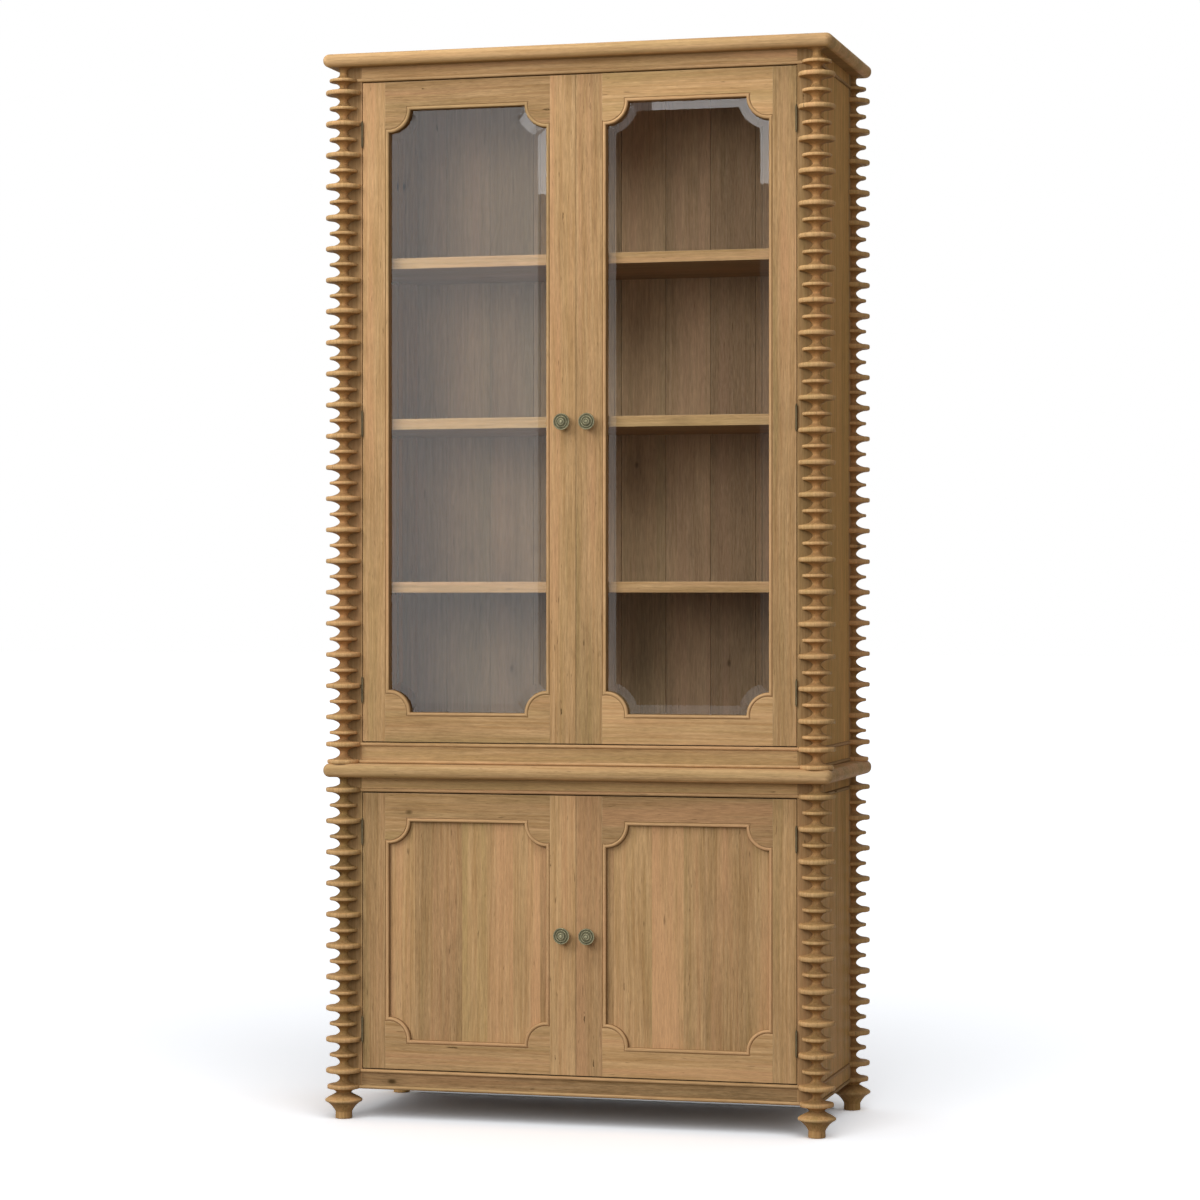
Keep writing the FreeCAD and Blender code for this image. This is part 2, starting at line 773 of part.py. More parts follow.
def case_leaf(centre):
    low, middle, high = knuckle_spans(centre)
    return hinge_leaf(centre, post_inner_x, -1, [low, high], [middle])


def door_leaf(centre):
    low, middle, high = knuckle_spans(centre)
    return hinge_leaf(centre, door_outer_x, 1, [middle], [low, high])


def hinge_pin(centre):
    """A hinge pin with a small turned tip at each end."""
    half = hinge_length / 2
    end = half + tip_height
    outline = [(0, -end), (tip_end_radius, -end), (tip_radius, -half), (hinge_pin_radius, -half)]
    outline += [(radius, -height) for radius, height in reversed(outline)]
    face = polygon_face([FreeCAD.Vector(radius, 0, height) for radius, height in outline])
    turned = face.revolve(origin, z_axis, 360)
    return turned.translated(FreeCAD.Vector(pin_x, pin_y, centre))


def upper_hinge_heights():
    low = upper_door_bottom() + upper_hinge_inset
    high = upper_door_top() - upper_hinge_inset
    return [low, (low + high) / 2 - middle_hinge_drop, high]


def lower_hinge_heights():
    return [lower_door_bottom() + lower_hinge_inset, lower_door_top() - lower_hinge_inset]


def upper_door_bottom():
    return base_top + door_gap


def upper_door_top():
    return upper_head_bottom - door_gap


def lower_door_bottom():
    return apron_top + door_gap


def lower_door_top():
    return lower_head_bottom - door_gap


def door_stop(head_bottom, board_bottom):
    """A block behind the head rail that both doors close against."""
    half = stop_width / 2
    face = door_back + stop_gap
    return block(-half, half, face, face + stop_thickness, head_bottom - stop_drop, board_bottom)


def catch_bore(head_bottom):
    start = FreeCAD.Vector(catch_offset, front + rail_thickness / 2, head_bottom - overrun)
    length = overrun + catch_length + joint_slack
    return rod(catch_radius + catch_slack, start, start + z_axis * length)


def ball_catch(head_bottom):
    """A sprung ball in a brass barrel, pressed up into the head rail."""
    start = FreeCAD.Vector(catch_offset, front + rail_thickness / 2, head_bottom)
    barrel_body = rod(catch_radius, start, start + z_axis * catch_length)
    ball_centre = start + z_axis * (catch_ball_radius - catch_ball_show)
    return barrel_body.fuse(Part.makeSphere(catch_ball_radius, ball_centre))


def export_corners(name, shape):
    """Four copies of a corner piece, one node each."""
    export(name + "_front_right", shape)
    export(name + "_front_left", flip_x(shape))
    export(name + "_back_right", flip_y(shape))
    export(name + "_back_left", flip_x(flip_y(shape)))


def export_sides(name, piece, pieces):
    """The right-hand pieces of a door and their left-hand twins, one node each."""
    export(name.format("right") + "_" + piece, pieces)
    export(name.format("left") + "_" + piece, [flip_x(shape) for shape in pieces])


def export_door(name, bottom, top, knob_height, hinge_heights, glazed):
    opening = Opening(bottom, top)
    depth = glass_thickness if glazed else panel_thickness
    filling = bevelled_glass(opening) if glazed else flat_panel(opening)
    export_sides(name, "frame", door_frame(opening, bottom, top, knob_height))
    export_sides(name, "beads", door_beads(opening, filling_front + depth))
    export_sides(name, "glass" if glazed else "panel", [filling])
    export_sides(name, "knob", knob(knob_height))
    export_sides(name, "hinge_leaves", [door_leaf(height) for height in hinge_heights])


def export_case():
    export("lower_corner_posts", bored_for_feet(corner_posts(case_bottom, waist_bottom)))
    export("upper_corner_posts", corner_posts(waist_top, top_bottom))
    export("waist_board", bullnosed_board(waist_bottom, waist_thickness))
    export("top_board", bullnosed_board(top_bottom, top_thickness))
    apron = front_rail(case_bottom, apron_top)
    base = front_rail(waist_top, base_top)
    export("lower_front_rails", [apron, head_rail(lower_head_bottom, waist_bottom)])
    export("upper_front_rails", [base, head_rail(upper_head_bottom, top_bottom)])
    lower_side = side_panel(case_bottom, waist_bottom, [lower_shelf_top])
    upper_side = side_panel(waist_top, top_bottom, shelf_top_heights)
    export("lower_side_right", lower_side)
    export("lower_side_left", flip_x(lower_side))
    export("upper_side_right", upper_side)
    export("upper_side_left", flip_x(upper_side))
    export("lower_back_boards", back_boards(case_bottom, waist_bottom))
    export("upper_back_boards", back_boards(waist_top, top_bottom))


def export_mouldings():
    lip_height = bead_height / 2
    apron_lip = planted_beads(case_bottom + lip_height, middle_disc_radius)
    base_lip = planted_beads(waist_top + lip_height, middle_disc_radius)
    export("apron_beads", planted_beads(apron_bead_height, large_disc_radius) + apron_lip)
    export("lower_frieze_bead", planted_beads(lower_frieze_bead_height, large_disc_radius))
    export("base_beads", planted_beads(base_bead_height, large_disc_radius) + base_lip)
    export("upper_frieze_bead", planted_beads(top_bead_height, small_disc_radius))


def export_inside():
    export("lower_floor", case_floor(apron_top))
    export("upper_floor", case_floor(base_top))
    export("lower_shelf", shelf(lower_shelf_top))
    for name, height in zip(("top", "middle", "bottom"), shelf_top_heights):
        export("upper_shelf_" + name, shelf(height))
    export("shelf_pins", shelf_pins(shelf_top_heights + (lower_shelf_top,)))
    stops = [door_stop(upper_head_bottom, top_bottom), door_stop(lower_head_bottom, waist_bottom)]
    export("door_stops", stops)
    catches = pair(ball_catch(upper_head_bottom)) + pair(ball_catch(lower_head_bottom))
    export("ball_catches", catches)


def export_fixed_hinges():
    heights = upper_hinge_heights() + lower_hinge_heights()
    leaves = []
    pins = []
    for height in heights:
        leaves += pair(case_leaf(height))
        pins += pair(hinge_pin(height))
    export("case_hinge_leaves", leaves)
    export("hinge_pins", pins)


def main():
    os.makedirs("parts", exist_ok=True)
    export_corners("foot", foot())
    export_corners("lower_column", lower_column())
    export_corners("upper_column", upper_column())
    export_case()
    export_mouldings()
    export_inside()
    export_fixed_hinges()
    export_door("upper_{}_door", upper_door_bottom(), upper_door_top(), upper_knob_height,
                upper_hinge_heights(), True)
    export_door("lower_{}_door", lower_door_bottom(), lower_door_top(), lower_knob_height,
                lower_hinge_heights(), False)


main()
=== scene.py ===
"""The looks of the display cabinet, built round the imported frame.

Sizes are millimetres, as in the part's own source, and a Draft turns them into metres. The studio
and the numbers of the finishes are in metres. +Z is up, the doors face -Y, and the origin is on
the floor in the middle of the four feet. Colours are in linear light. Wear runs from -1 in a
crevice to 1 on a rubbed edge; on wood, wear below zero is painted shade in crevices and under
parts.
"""
import logging
import math
from dataclasses import dataclass, replace
from enum import Enum

import bmesh
import bpy
import numpy as np
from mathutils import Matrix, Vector


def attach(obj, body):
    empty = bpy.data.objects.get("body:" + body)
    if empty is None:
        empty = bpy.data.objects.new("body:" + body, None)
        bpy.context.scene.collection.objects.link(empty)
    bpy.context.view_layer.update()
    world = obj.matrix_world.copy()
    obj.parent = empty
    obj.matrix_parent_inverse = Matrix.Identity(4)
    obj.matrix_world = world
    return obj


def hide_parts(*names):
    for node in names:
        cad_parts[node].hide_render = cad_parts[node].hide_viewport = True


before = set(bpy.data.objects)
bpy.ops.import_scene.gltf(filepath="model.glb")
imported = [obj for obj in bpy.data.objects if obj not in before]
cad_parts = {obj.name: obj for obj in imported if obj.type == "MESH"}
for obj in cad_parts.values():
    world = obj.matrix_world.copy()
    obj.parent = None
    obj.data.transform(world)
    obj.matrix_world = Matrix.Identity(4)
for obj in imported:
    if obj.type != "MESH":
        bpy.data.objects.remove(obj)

Colour = tuple[float, float, float, float]
Spot = tuple[float, float, float]
Span = tuple[float, float]
Ramp = tuple[Span, Span]
Line = tuple[Span, ...]
Faces = list[tuple[int, ...]]

log = logging.getLogger("display_cabinet")

METRES = 0.001
QUARTER = math.pi / 2
UNIT: Span = (0.0, 1.0)

# Meshes: the widest angle that is shaded smooth, how edges are eased, and steps round a curve.
SMOOTH_ANGLE = math.radians(32.0)
SHORTEST_MITRE = 0.3
ARRIS = 0.7
EDGE_BAND = 3.0
EASE_STEPS = 4
TURNED_STEPS = 72

# Boards: how far apart they are cut from the log, how much they differ in tone, and the wear
# beside a rubbed edge. Tones count in spreads of the boards' own differences.
BOARD_SHIFT = 7.0
TONE_LIMIT = 1.8
TWIN_DRIFT = 0.6
# Painted light: the back columns and feet are this many tones lighter.
BACK_PAINTED_LIGHT = 6.8
HALF_RUBBED = 0.35

# Names of what each point of a mesh carries to the finishes.
GRAIN_PLACE = "grain_place"
BOARD_LOOKS = "board_looks"


class Grain(Enum):
    """How a board lies: the axes across its face, through it and along its fibres."""

    UPRIGHT_FRONT = (0, 1, 2)
    UPRIGHT_SIDE = (1, 0, 2)
    LEVEL_FRONT = (2, 1, 0)
    LEVEL_SIDE = (2, 0, 1)
    LEVEL_TOP = (1, 2, 0)


class Lie(Enum):
    """The plane of a plate's outline: which axes its two directions and its depth take."""

    FRONT = (0, 2, 1)
    PLAN = (0, 1, 2)
    SIDE = (1, 2, 0)


class Place(Enum):
    """Where a finish finds the run of the grain."""

    OWN = "own"
    ALONG_X = "along_x"


def signed_area(outline: np.ndarray) -> float:
    """Area of an outline, positive when it runs counter-clockwise."""
    x, y = outline[:, 0], outline[:, 1]
    return float(np.sum(x * np.roll(y, -1) - np.roll(x, -1) * y) / 2)


def inset(outline: np.ndarray, distance: float) -> np.ndarray:
    """Move an outline into its material with sharp mitres.

    Args:
        outline: Counter-clockwise points, one row each.
        distance: How far each side moves in.

    Returns:
        As many points, in the same order.
    """
    ahead = np.roll(outline, -1, axis=0) - outline
    ahead /= np.linalg.norm(ahead, axis=1, keepdims=True)
    after = np.stack([-ahead[:, 1], ahead[:, 0]], axis=1)
    both = after + np.roll(after, 1, axis=0)
    size = np.maximum(np.sum(both * both, axis=1, keepdims=True), SHORTEST_MITRE)
    return outline + both * (2 * distance / size)


def ring_faces(rings: int, around: int, joined: bool = False) -> Faces:
    """Skin closed rings of points with quads.

    Args:
        rings: How many rings there are.
        around: Points in each ring.
        joined: Join the last ring to the first, and leave out the faces over the ends.

    Returns:
        The faces.
    """
    faces: Faces = []
    for ring in range(rings if joined else rings - 1):
        low, high = ring * around, (ring + 1) % rings * around
        for step in range(around):
            beside = (step + 1) % around
            faces.append((low + step, low + beside, high + beside, high + step))
    last = (rings - 1) * around
    ends = [tuple(range(around))[::-1], tuple(range(last, last + around))]
    return faces if joined else faces + ends


def flowing(controls: Line, steps: int) -> np.ndarray:
    """A smooth line through points of a turner's profile.

    Args:
        controls: Radius and height of each point.
        steps: Points laid in each stretch.

    Returns:
        The finer profile, one row each.
    """
    known = np.array([controls[0], *controls, controls[-1]], float)
    share = np.linspace(0.0, 1.0, steps, endpoint=False)[:, None]
    line = []
    for before, start, end, after in zip(known, known[1:], known[2:], known[3:]):
        slope, pull = end - before, 2 * before - 5 * start + 4 * end - after
        bend = 3 * start - before - 3 * end + after
        line.append(start + (share * slope + share**2 * pull + share**3 * bend) / 2)
    return np.vstack([*line, known[-1:]])


def rectangle(across: Span, up: Span) -> np.ndarray:
    """Outline of a plain board."""
    (left, right), (low, high) = across, up
    return np.array([(left, low), (right, low), (right, high), (left, high)])


def ordered(first: float, second: float) -> Span:
    """Two measures as a span."""
    return min(first, second), max(first, second)


def stand(data: bpy.types.ID) -> bpy.types.Object:
    """Put a mesh, a lamp or a camera into the scene.

    Args:
        data: What to put up, with its name.

    Returns:
        The new object.
    """
    made = bpy.data.objects.new(data.name, data)
    bpy.context.scene.collection.objects.link(made)
    return made


class Draft:
    """A mesh in the making: solid pieces with the lie of their grain and their wear."""

    def __init__(self, node: str, seed: int) -> None:
        """Start an empty mesh.

        Args:
            node: The CAD node that it stands for.
            seed: Start of its random draws.
        """
        self.node = node
        self.random = np.random.default_rng(seed)
        self.points: list[np.ndarray] = []
        self.faces: Faces = []
        self.places: list[np.ndarray] = []
        self.looks: list[np.ndarray] = []
        self.count = 0

    def add(self, points: np.ndarray, faces: Faces, wear: np.ndarray,
            grain: Grain | np.ndarray) -> None:
        """Add one solid cut from its own board.

        Args:
            points: Its points, one row each.
            faces: Its faces, as places in those rows.
            wear: Wear of each point.
            grain: How its fibres lie, or their own coordinates for each point.
        """
        run = points[:, list(grain.value)] if isinstance(grain, Grain) else grain
        shift = self.random.uniform(0.0, BOARD_SHIFT, 3)
        tone, hue = np.clip(self.random.normal(0.0, 1.0, 2), -TONE_LIMIT, TONE_LIMIT)
        count = len(points)
        self.points.append(points * METRES)
        self.places.append(run * METRES + shift)
        self.looks.append(np.stack([np.full(count, tone), np.full(count, hue), wear], axis=1))
        self.faces += [tuple(index + self.count for index in face) for face in faces]
        self.count += count

    def plate(self, outline: np.ndarray, depth: Span, lie: Lie, grain: Grain,
              arris: float = ARRIS) -> None:
        """Add a flat piece with eased arrises.

        Args:
            outline: Its outline in the plane that lie names.
            depth: Where its two faces are.
            lie: The plane of the outline.
            grain: How its fibres lie.
            arris: Radius of its edges.
        """
        if signed_area(outline) < 0:
            outline = outline[::-1]
        low, high = depth
        band = min(EDGE_BAND, (high - low - 2 * arris) / 3)
        turn = np.linspace(0.0, QUARTER, EASE_STEPS)
        ins = np.concatenate([[arris + band], arris * (1 - np.sin(turn)), [0.0]])
        ups = np.concatenate([[0.0], arris * (1 - np.cos(turn)), [arris + band]])
        rub = np.array([0.0, HALF_RUBBED] + [1.0] * (EASE_STEPS - 2) + [HALF_RUBBED, 0.0])
        levels = np.concatenate([low + ups, (high - ups)[::-1]])
        rings = []
        for distance, level in zip(np.concatenate([ins, ins[::-1]]), levels):
            ring = np.empty((len(outline), 3))
            ring[:, list(lie.value)[:2]] = inset(outline, distance)
            ring[:, lie.value[2]] = level
            rings.append(ring)
        wear = np.repeat(np.concatenate([rub, rub[::-1]]), len(outline))
        self.add(np.vstack(rings), ring_faces(len(rings), len(outline)), wear, grain)

    def turning(self, profile: np.ndarray, wear: np.ndarray, centre: Spot, steps: int,
                cut: bool = False, outward: bool = False, tones: np.ndarray | None = None) -> None:
        """Add a turned solid.

        Args:
            profile: Radius and height of each ring.
            wear: Wear of each ring; on wood, below zero it is painted shade.
            centre: Where radius and height start.
            steps: Points round a ring.
            cut: Leave out the quarter that a corner of the case fills.
            outward: Turn it round -Y, not round +Z.
            tones: Tone and hue of each ring beside its board's own.
        """
        if cut:
            angles = np.linspace(-math.pi, QUARTER, steps)
            round_x, round_y = np.append(np.cos(angles), 0.0), np.append(np.sin(angles), 0.0)
        else:
            angles = np.linspace(0.0, 2 * math.pi, steps, endpoint=False)
            round_x, round_y = np.cos(angles), np.sin(angles)
        radius, height = profile[:, 0:1], profile[:, 1:2]
        around = len(round_x)
        level = np.broadcast_to(height, (len(profile), around))
        across, deep = radius * round_x, radius * round_y
        rings = np.stack([across, -level, deep] if outward else [across, deep, level], axis=2)
        self.add(rings.reshape(-1, 3) + np.array(centre), ring_faces(len(profile), around),
                 np.repeat(wear, around), Grain.UPRIGHT_FRONT)
        if tones is not None:
            self.looks[-1][:, 0:2] += np.repeat(tones, around, axis=0)

    def loops(self, rings: list[np.ndarray], wear: np.ndarray, run: np.ndarray | None = None,
              joined: bool = False, grain: Grain = Grain.UPRIGHT_FRONT) -> None:
        """Add a solid skinned over closed loops of points.

        Args:
            rings: The loops, with as many points each.
            wear: Wear of each loop, or of every point in turn; on wood, below zero it is painted
                shade.
            run: Coordinates of the grain for all points, where it bends.
            joined: Join the last loop to the first, as in a frame, with no ends.
            grain: How straight grain lies.
        """
        around = len(rings[0])
        each = wear if len(wear) == len(rings) * around else np.repeat(wear, around)
        faces = ring_faces(len(rings), around, joined)
        self.add(np.vstack(rings), faces, each, grain if run is None else run)

    def tint(self, tone: float | np.ndarray) -> None:
        """Make the last solid lighter or darker."""
        self.looks[-1][:, 0] += tone

    def take(self, other: "Draft") -> None:
        """Take in all the solids of another mesh.

        Args:
            other: The mesh.
        """
        self.faces += [tuple(index + self.count for index in face) for face in other.faces]
        self.points += other.points
        self.places += other.places
        self.looks += other.looks
        self.count += other.count

    def mirrored(self, flip: Spot, node: str, seed: int) -> "Draft":
        """A twin of this mesh, cut from other boards.

        Args:
            flip: Factors for the three axes.
            node: The CAD node that the twin stands for.
            seed: Start of its random draws.

        Returns:
            The twin.
        """
        twin = Draft(node, seed)
        twin.faces, twin.count = self.faces, self.count
        for points, places, looks in zip(self.points, self.places, self.looks):
            other = looks.copy()
            other[:, 0:2] += twin.random.normal(0.0, TWIN_DRIFT, 2)
            twin.points.append(points * np.array(flip))
            twin.places.append(places + twin.random.uniform(0.0, BOARD_SHIFT, 3))
            twin.looks.append(other)
        return twin

    def make(self, material: bpy.types.Material, flat: bool = False) -> bpy.types.Object:
        """Turn the draft into an object.

        Args:
            material: Its finish.
            flat: Keep every face flat, as on ground glass.

        Returns:
            The object, in metres, with its own attributes for grain, wear and painted shade.
        """
        mesh = bpy.data.meshes.new("finished_" + self.node)
        mesh.from_pydata(np.vstack(self.points).tolist(), [], self.faces)
        for name, rows in ((GRAIN_PLACE, self.places), (BOARD_LOOKS, self.looks)):
            layer = mesh.attributes.new(name, "FLOAT_VECTOR", "POINT")
            layer.data.foreach_set("vector", np.vstack(rows).astype(np.float32).ravel())
        shell = bmesh.new()
        shell.from_mesh(mesh)
        bmesh.ops.recalc_face_normals(shell, faces=shell.faces)
        shell.to_mesh(mesh)
        shell.free()
        mesh.polygons.foreach_set("use_smooth", [not flat] * len(mesh.polygons))
        if not flat:
            mesh.set_sharp_from_angle(angle=SMOOTH_ANGLE)
        mesh.materials.append(material)
        return stand(mesh)


def install(draft: Draft, material: bpy.types.Material, body: str = "case",
            flat: bool = False) -> None:
    """Make a piece that rides on a body and stands for the CAD node of its name.

    Args:
        draft: Its mesh.
        material: Its finish.
        body: The CAD body that it moves with.
        flat: Keep every face flat, as on ground glass.
    """
    made = draft.make(material, flat)
    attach(made, body)
    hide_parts(draft.node)
    log.info("%s: %d faces, rides on %s", made.name, len(made.data.polygons), body)


def dress(node: str, material: bpy.types.Material) -> None:
    """Give a CAD node that stays its finish.

    Args:
        node: The node.
        material: Its finish.
    """
    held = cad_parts[node]
    held.data.materials.clear()
    held.data.materials.append(material)
    log.info("%s: kept, dressed in %s", node, material.name)


@dataclass(frozen=True)
class Noise:
    """A noise: its scale along each axis, its detail and its roughness."""

    scale: Spot
    detail: float = 2.0
    rough: float = 0.55


class Bench:
    """Places shader nodes in one tree and joins them."""

    def __init__(self, tree: bpy.types.NodeTree) -> None:
        """Work in a given tree."""
        self.tree = tree

    def feed(self, node: bpy.types.Node, sockets: dict) -> bpy.types.Node:
        """Set inputs of a node.

        Args:
            node: The node.
            sockets: For each input, a value or the socket that feeds it.

        Returns:
            The same node.
        """
        for key, value in sockets.items():
            if isinstance(value, bpy.types.NodeSocket):
                self.tree.links.new(value, node.inputs[key])
            else:
                node.inputs[key].default_value = value
        return node

    def put(self, kind: str, sockets: dict | None = None, **settings: object) -> bpy.types.Node:
        """Place a node.

        Args:
            kind: Its type, without the leading words.
            sockets: For each input, a value or the socket that feeds it.
            settings: Its own properties.

        Returns:
            The node.
        """
        node = self.tree.nodes.new("ShaderNode" + kind)
        for name, value in settings.items():
            setattr(node, name, value)
        return self.feed(node, sockets or {})

    def sum(self, operation: str, *values: object) -> bpy.types.NodeSocket:
        """Result of a Math node, as in sum("ADD", a, b)."""
        return self.put("Math", dict(enumerate(values)), operation=operation).outputs[0]

    def plus(self, base: object, value: object, share: float) -> bpy.types.NodeSocket:
        """A base with a share of a value added to it."""
        return self.sum("MULTIPLY_ADD", value, share, base)

    def lean(self, value: object, share: object) -> bpy.types.NodeSocket:
        """How far a value is from its middle, times a share."""
        return self.sum("MULTIPLY", self.sum("SUBTRACT", value, 0.5), share)

    def steer(self, operation: str, first: object, second: object) -> bpy.types.NodeSocket:
        """Result of a Vector Math node."""
        return self.put("VectorMath", {0: first, 1: second}, operation=operation).outputs[0]

    def parts(self, vector: object) -> tuple[bpy.types.NodeSocket, ...]:
        """The three parts of a vector or a colour."""
        return tuple(self.put("SeparateXYZ", {0: vector}).outputs)

    def vector(self, *values: object) -> bpy.types.NodeSocket:
        """A vector made of up to three values."""
        return self.put("CombineXYZ", dict(enumerate(values))).outputs[0]

    def scaled(self, value: object, ramp: Ramp) -> bpy.types.NodeSocket:
        """A value carried from one span to another and held inside it.

        Args:
            value: The value.
            ramp: The span that it comes from and the span that it is carried to.

        Returns:
            The result.
        """
        (from_low, from_high), (to_low, to_high) = ramp
        sockets = {"Value": value, "From Min": from_low, "From Max": from_high,
                   "To Min": to_low, "To Max": to_high}
        return self.put("MapRange", sockets).outputs[0]

    def noise(self, place: object, noise: Noise) -> bpy.types.NodeSocket:
        """A noise that is drawn out along each axis.

        Args:
            place: Where on the surface.
            noise: Its numbers.

        Returns:
            Its value.
        """
        drawn = self.steer("MULTIPLY", place, noise.scale)
        sockets = {"Vector": drawn, "Scale": 1.0, "Detail": noise.detail, "Roughness": noise.rough}
        return self.put("TexNoise", sockets).outputs[0]

    def spots(self, place: object, scale: Spot, pick: tuple[int, Ramp],
              *shapes: Ramp) -> list[bpy.types.NodeSocket]:
        """Marks round the middles of some of many scattered cells.

        Args:
            place: Where on the surface.
            scale: Cells to a metre along each axis.
            pick: Which random part of a cell chooses it, and the ramp to how strong it is.
            shapes: For each mark, the ramp from the distance to its strength.

        Returns:
            One mask for each shape.
        """
        drawn = self.steer("MULTIPLY", place, scale)
        cells = self.put("TexVoronoi", {"Vector": drawn, "Scale": 1.0}).outputs
        chosen = self.scaled(self.parts(cells["Color"])[pick[0]], pick[1])
        return [self.sum("MULTIPLY", self.scaled(cells["Distance"], shape), chosen)
                for shape in shapes]

    def blend(self, factor: object, first: object, second: object,
              mode: str = "MIX") -> bpy.types.NodeSocket:
        """Result of a colour mix."""
        sockets = {0: factor, 6: first, 7: second}
        return self.put("Mix", sockets, data_type="RGBA", blend_type=mode,
                        clamp_factor=True).outputs[2]


def new_group(name: str, inputs: dict[str, str], outputs: dict[str, str]) -> tuple[
        bpy.types.NodeTree, Bench, bpy.types.bpy_prop_collection, bpy.types.Node]:
    """Start a shader group.

    Args:
        name: Its name.
        inputs: Kind of socket for each input's name.
        outputs: The same for its outputs.

    Returns:
        The tree, a bench for it, its input sockets and its output node.
    """
    tree = bpy.data.node_groups.new(name, "ShaderNodeTree")
    for side, sockets in (("INPUT", inputs), ("OUTPUT", outputs)):
        for label, kind in sockets.items():
            tree.interface.new_socket(name=label, in_out=side, socket_type="NodeSocket" + kind)
    start = tree.nodes.new("NodeGroupInput")
    return tree, Bench(tree), start.outputs, tree.nodes.new("NodeGroupOutput")


def new_material(name: str) -> tuple[bpy.types.Material, Bench, bpy.types.bpy_prop_collection]:
    """Start a material.

    Args:
        name: Its name.

    Returns:
        The material, a bench for its tree and the nodes that it starts with.
    """
    made = bpy.data.materials.new(name)
    made.use_nodes = True
    return made, Bench(made.node_tree), made.node_tree.nodes


@dataclass(frozen=True)
class Patches:
    """Soft patches of uneven shape, for handling, tarnish and the drift of a wood's tone."""

    noise: Noise = Noise((1.0, 1.0, 0.55), 4.0, 0.6)
    mask: Ramp = ((0.4, 0.66), UNIT)

    def group(self) -> bpy.types.NodeTree:
        """Build the group, which puts out a mask."""
        inputs = {"Place": "Vector", "Size": "Float"}
        tree, bench, given, end = new_group("soft_patches", inputs, {"Mask": "Float"})
        sockets = {0: given["Place"], "Scale": given["Size"]}
        sized = bench.put("VectorMath", sockets, operation="SCALE").outputs[0]
        bench.feed(end, {"Mask": bench.scaled(bench.noise(sized, self.noise), self.mask)})
        return tree


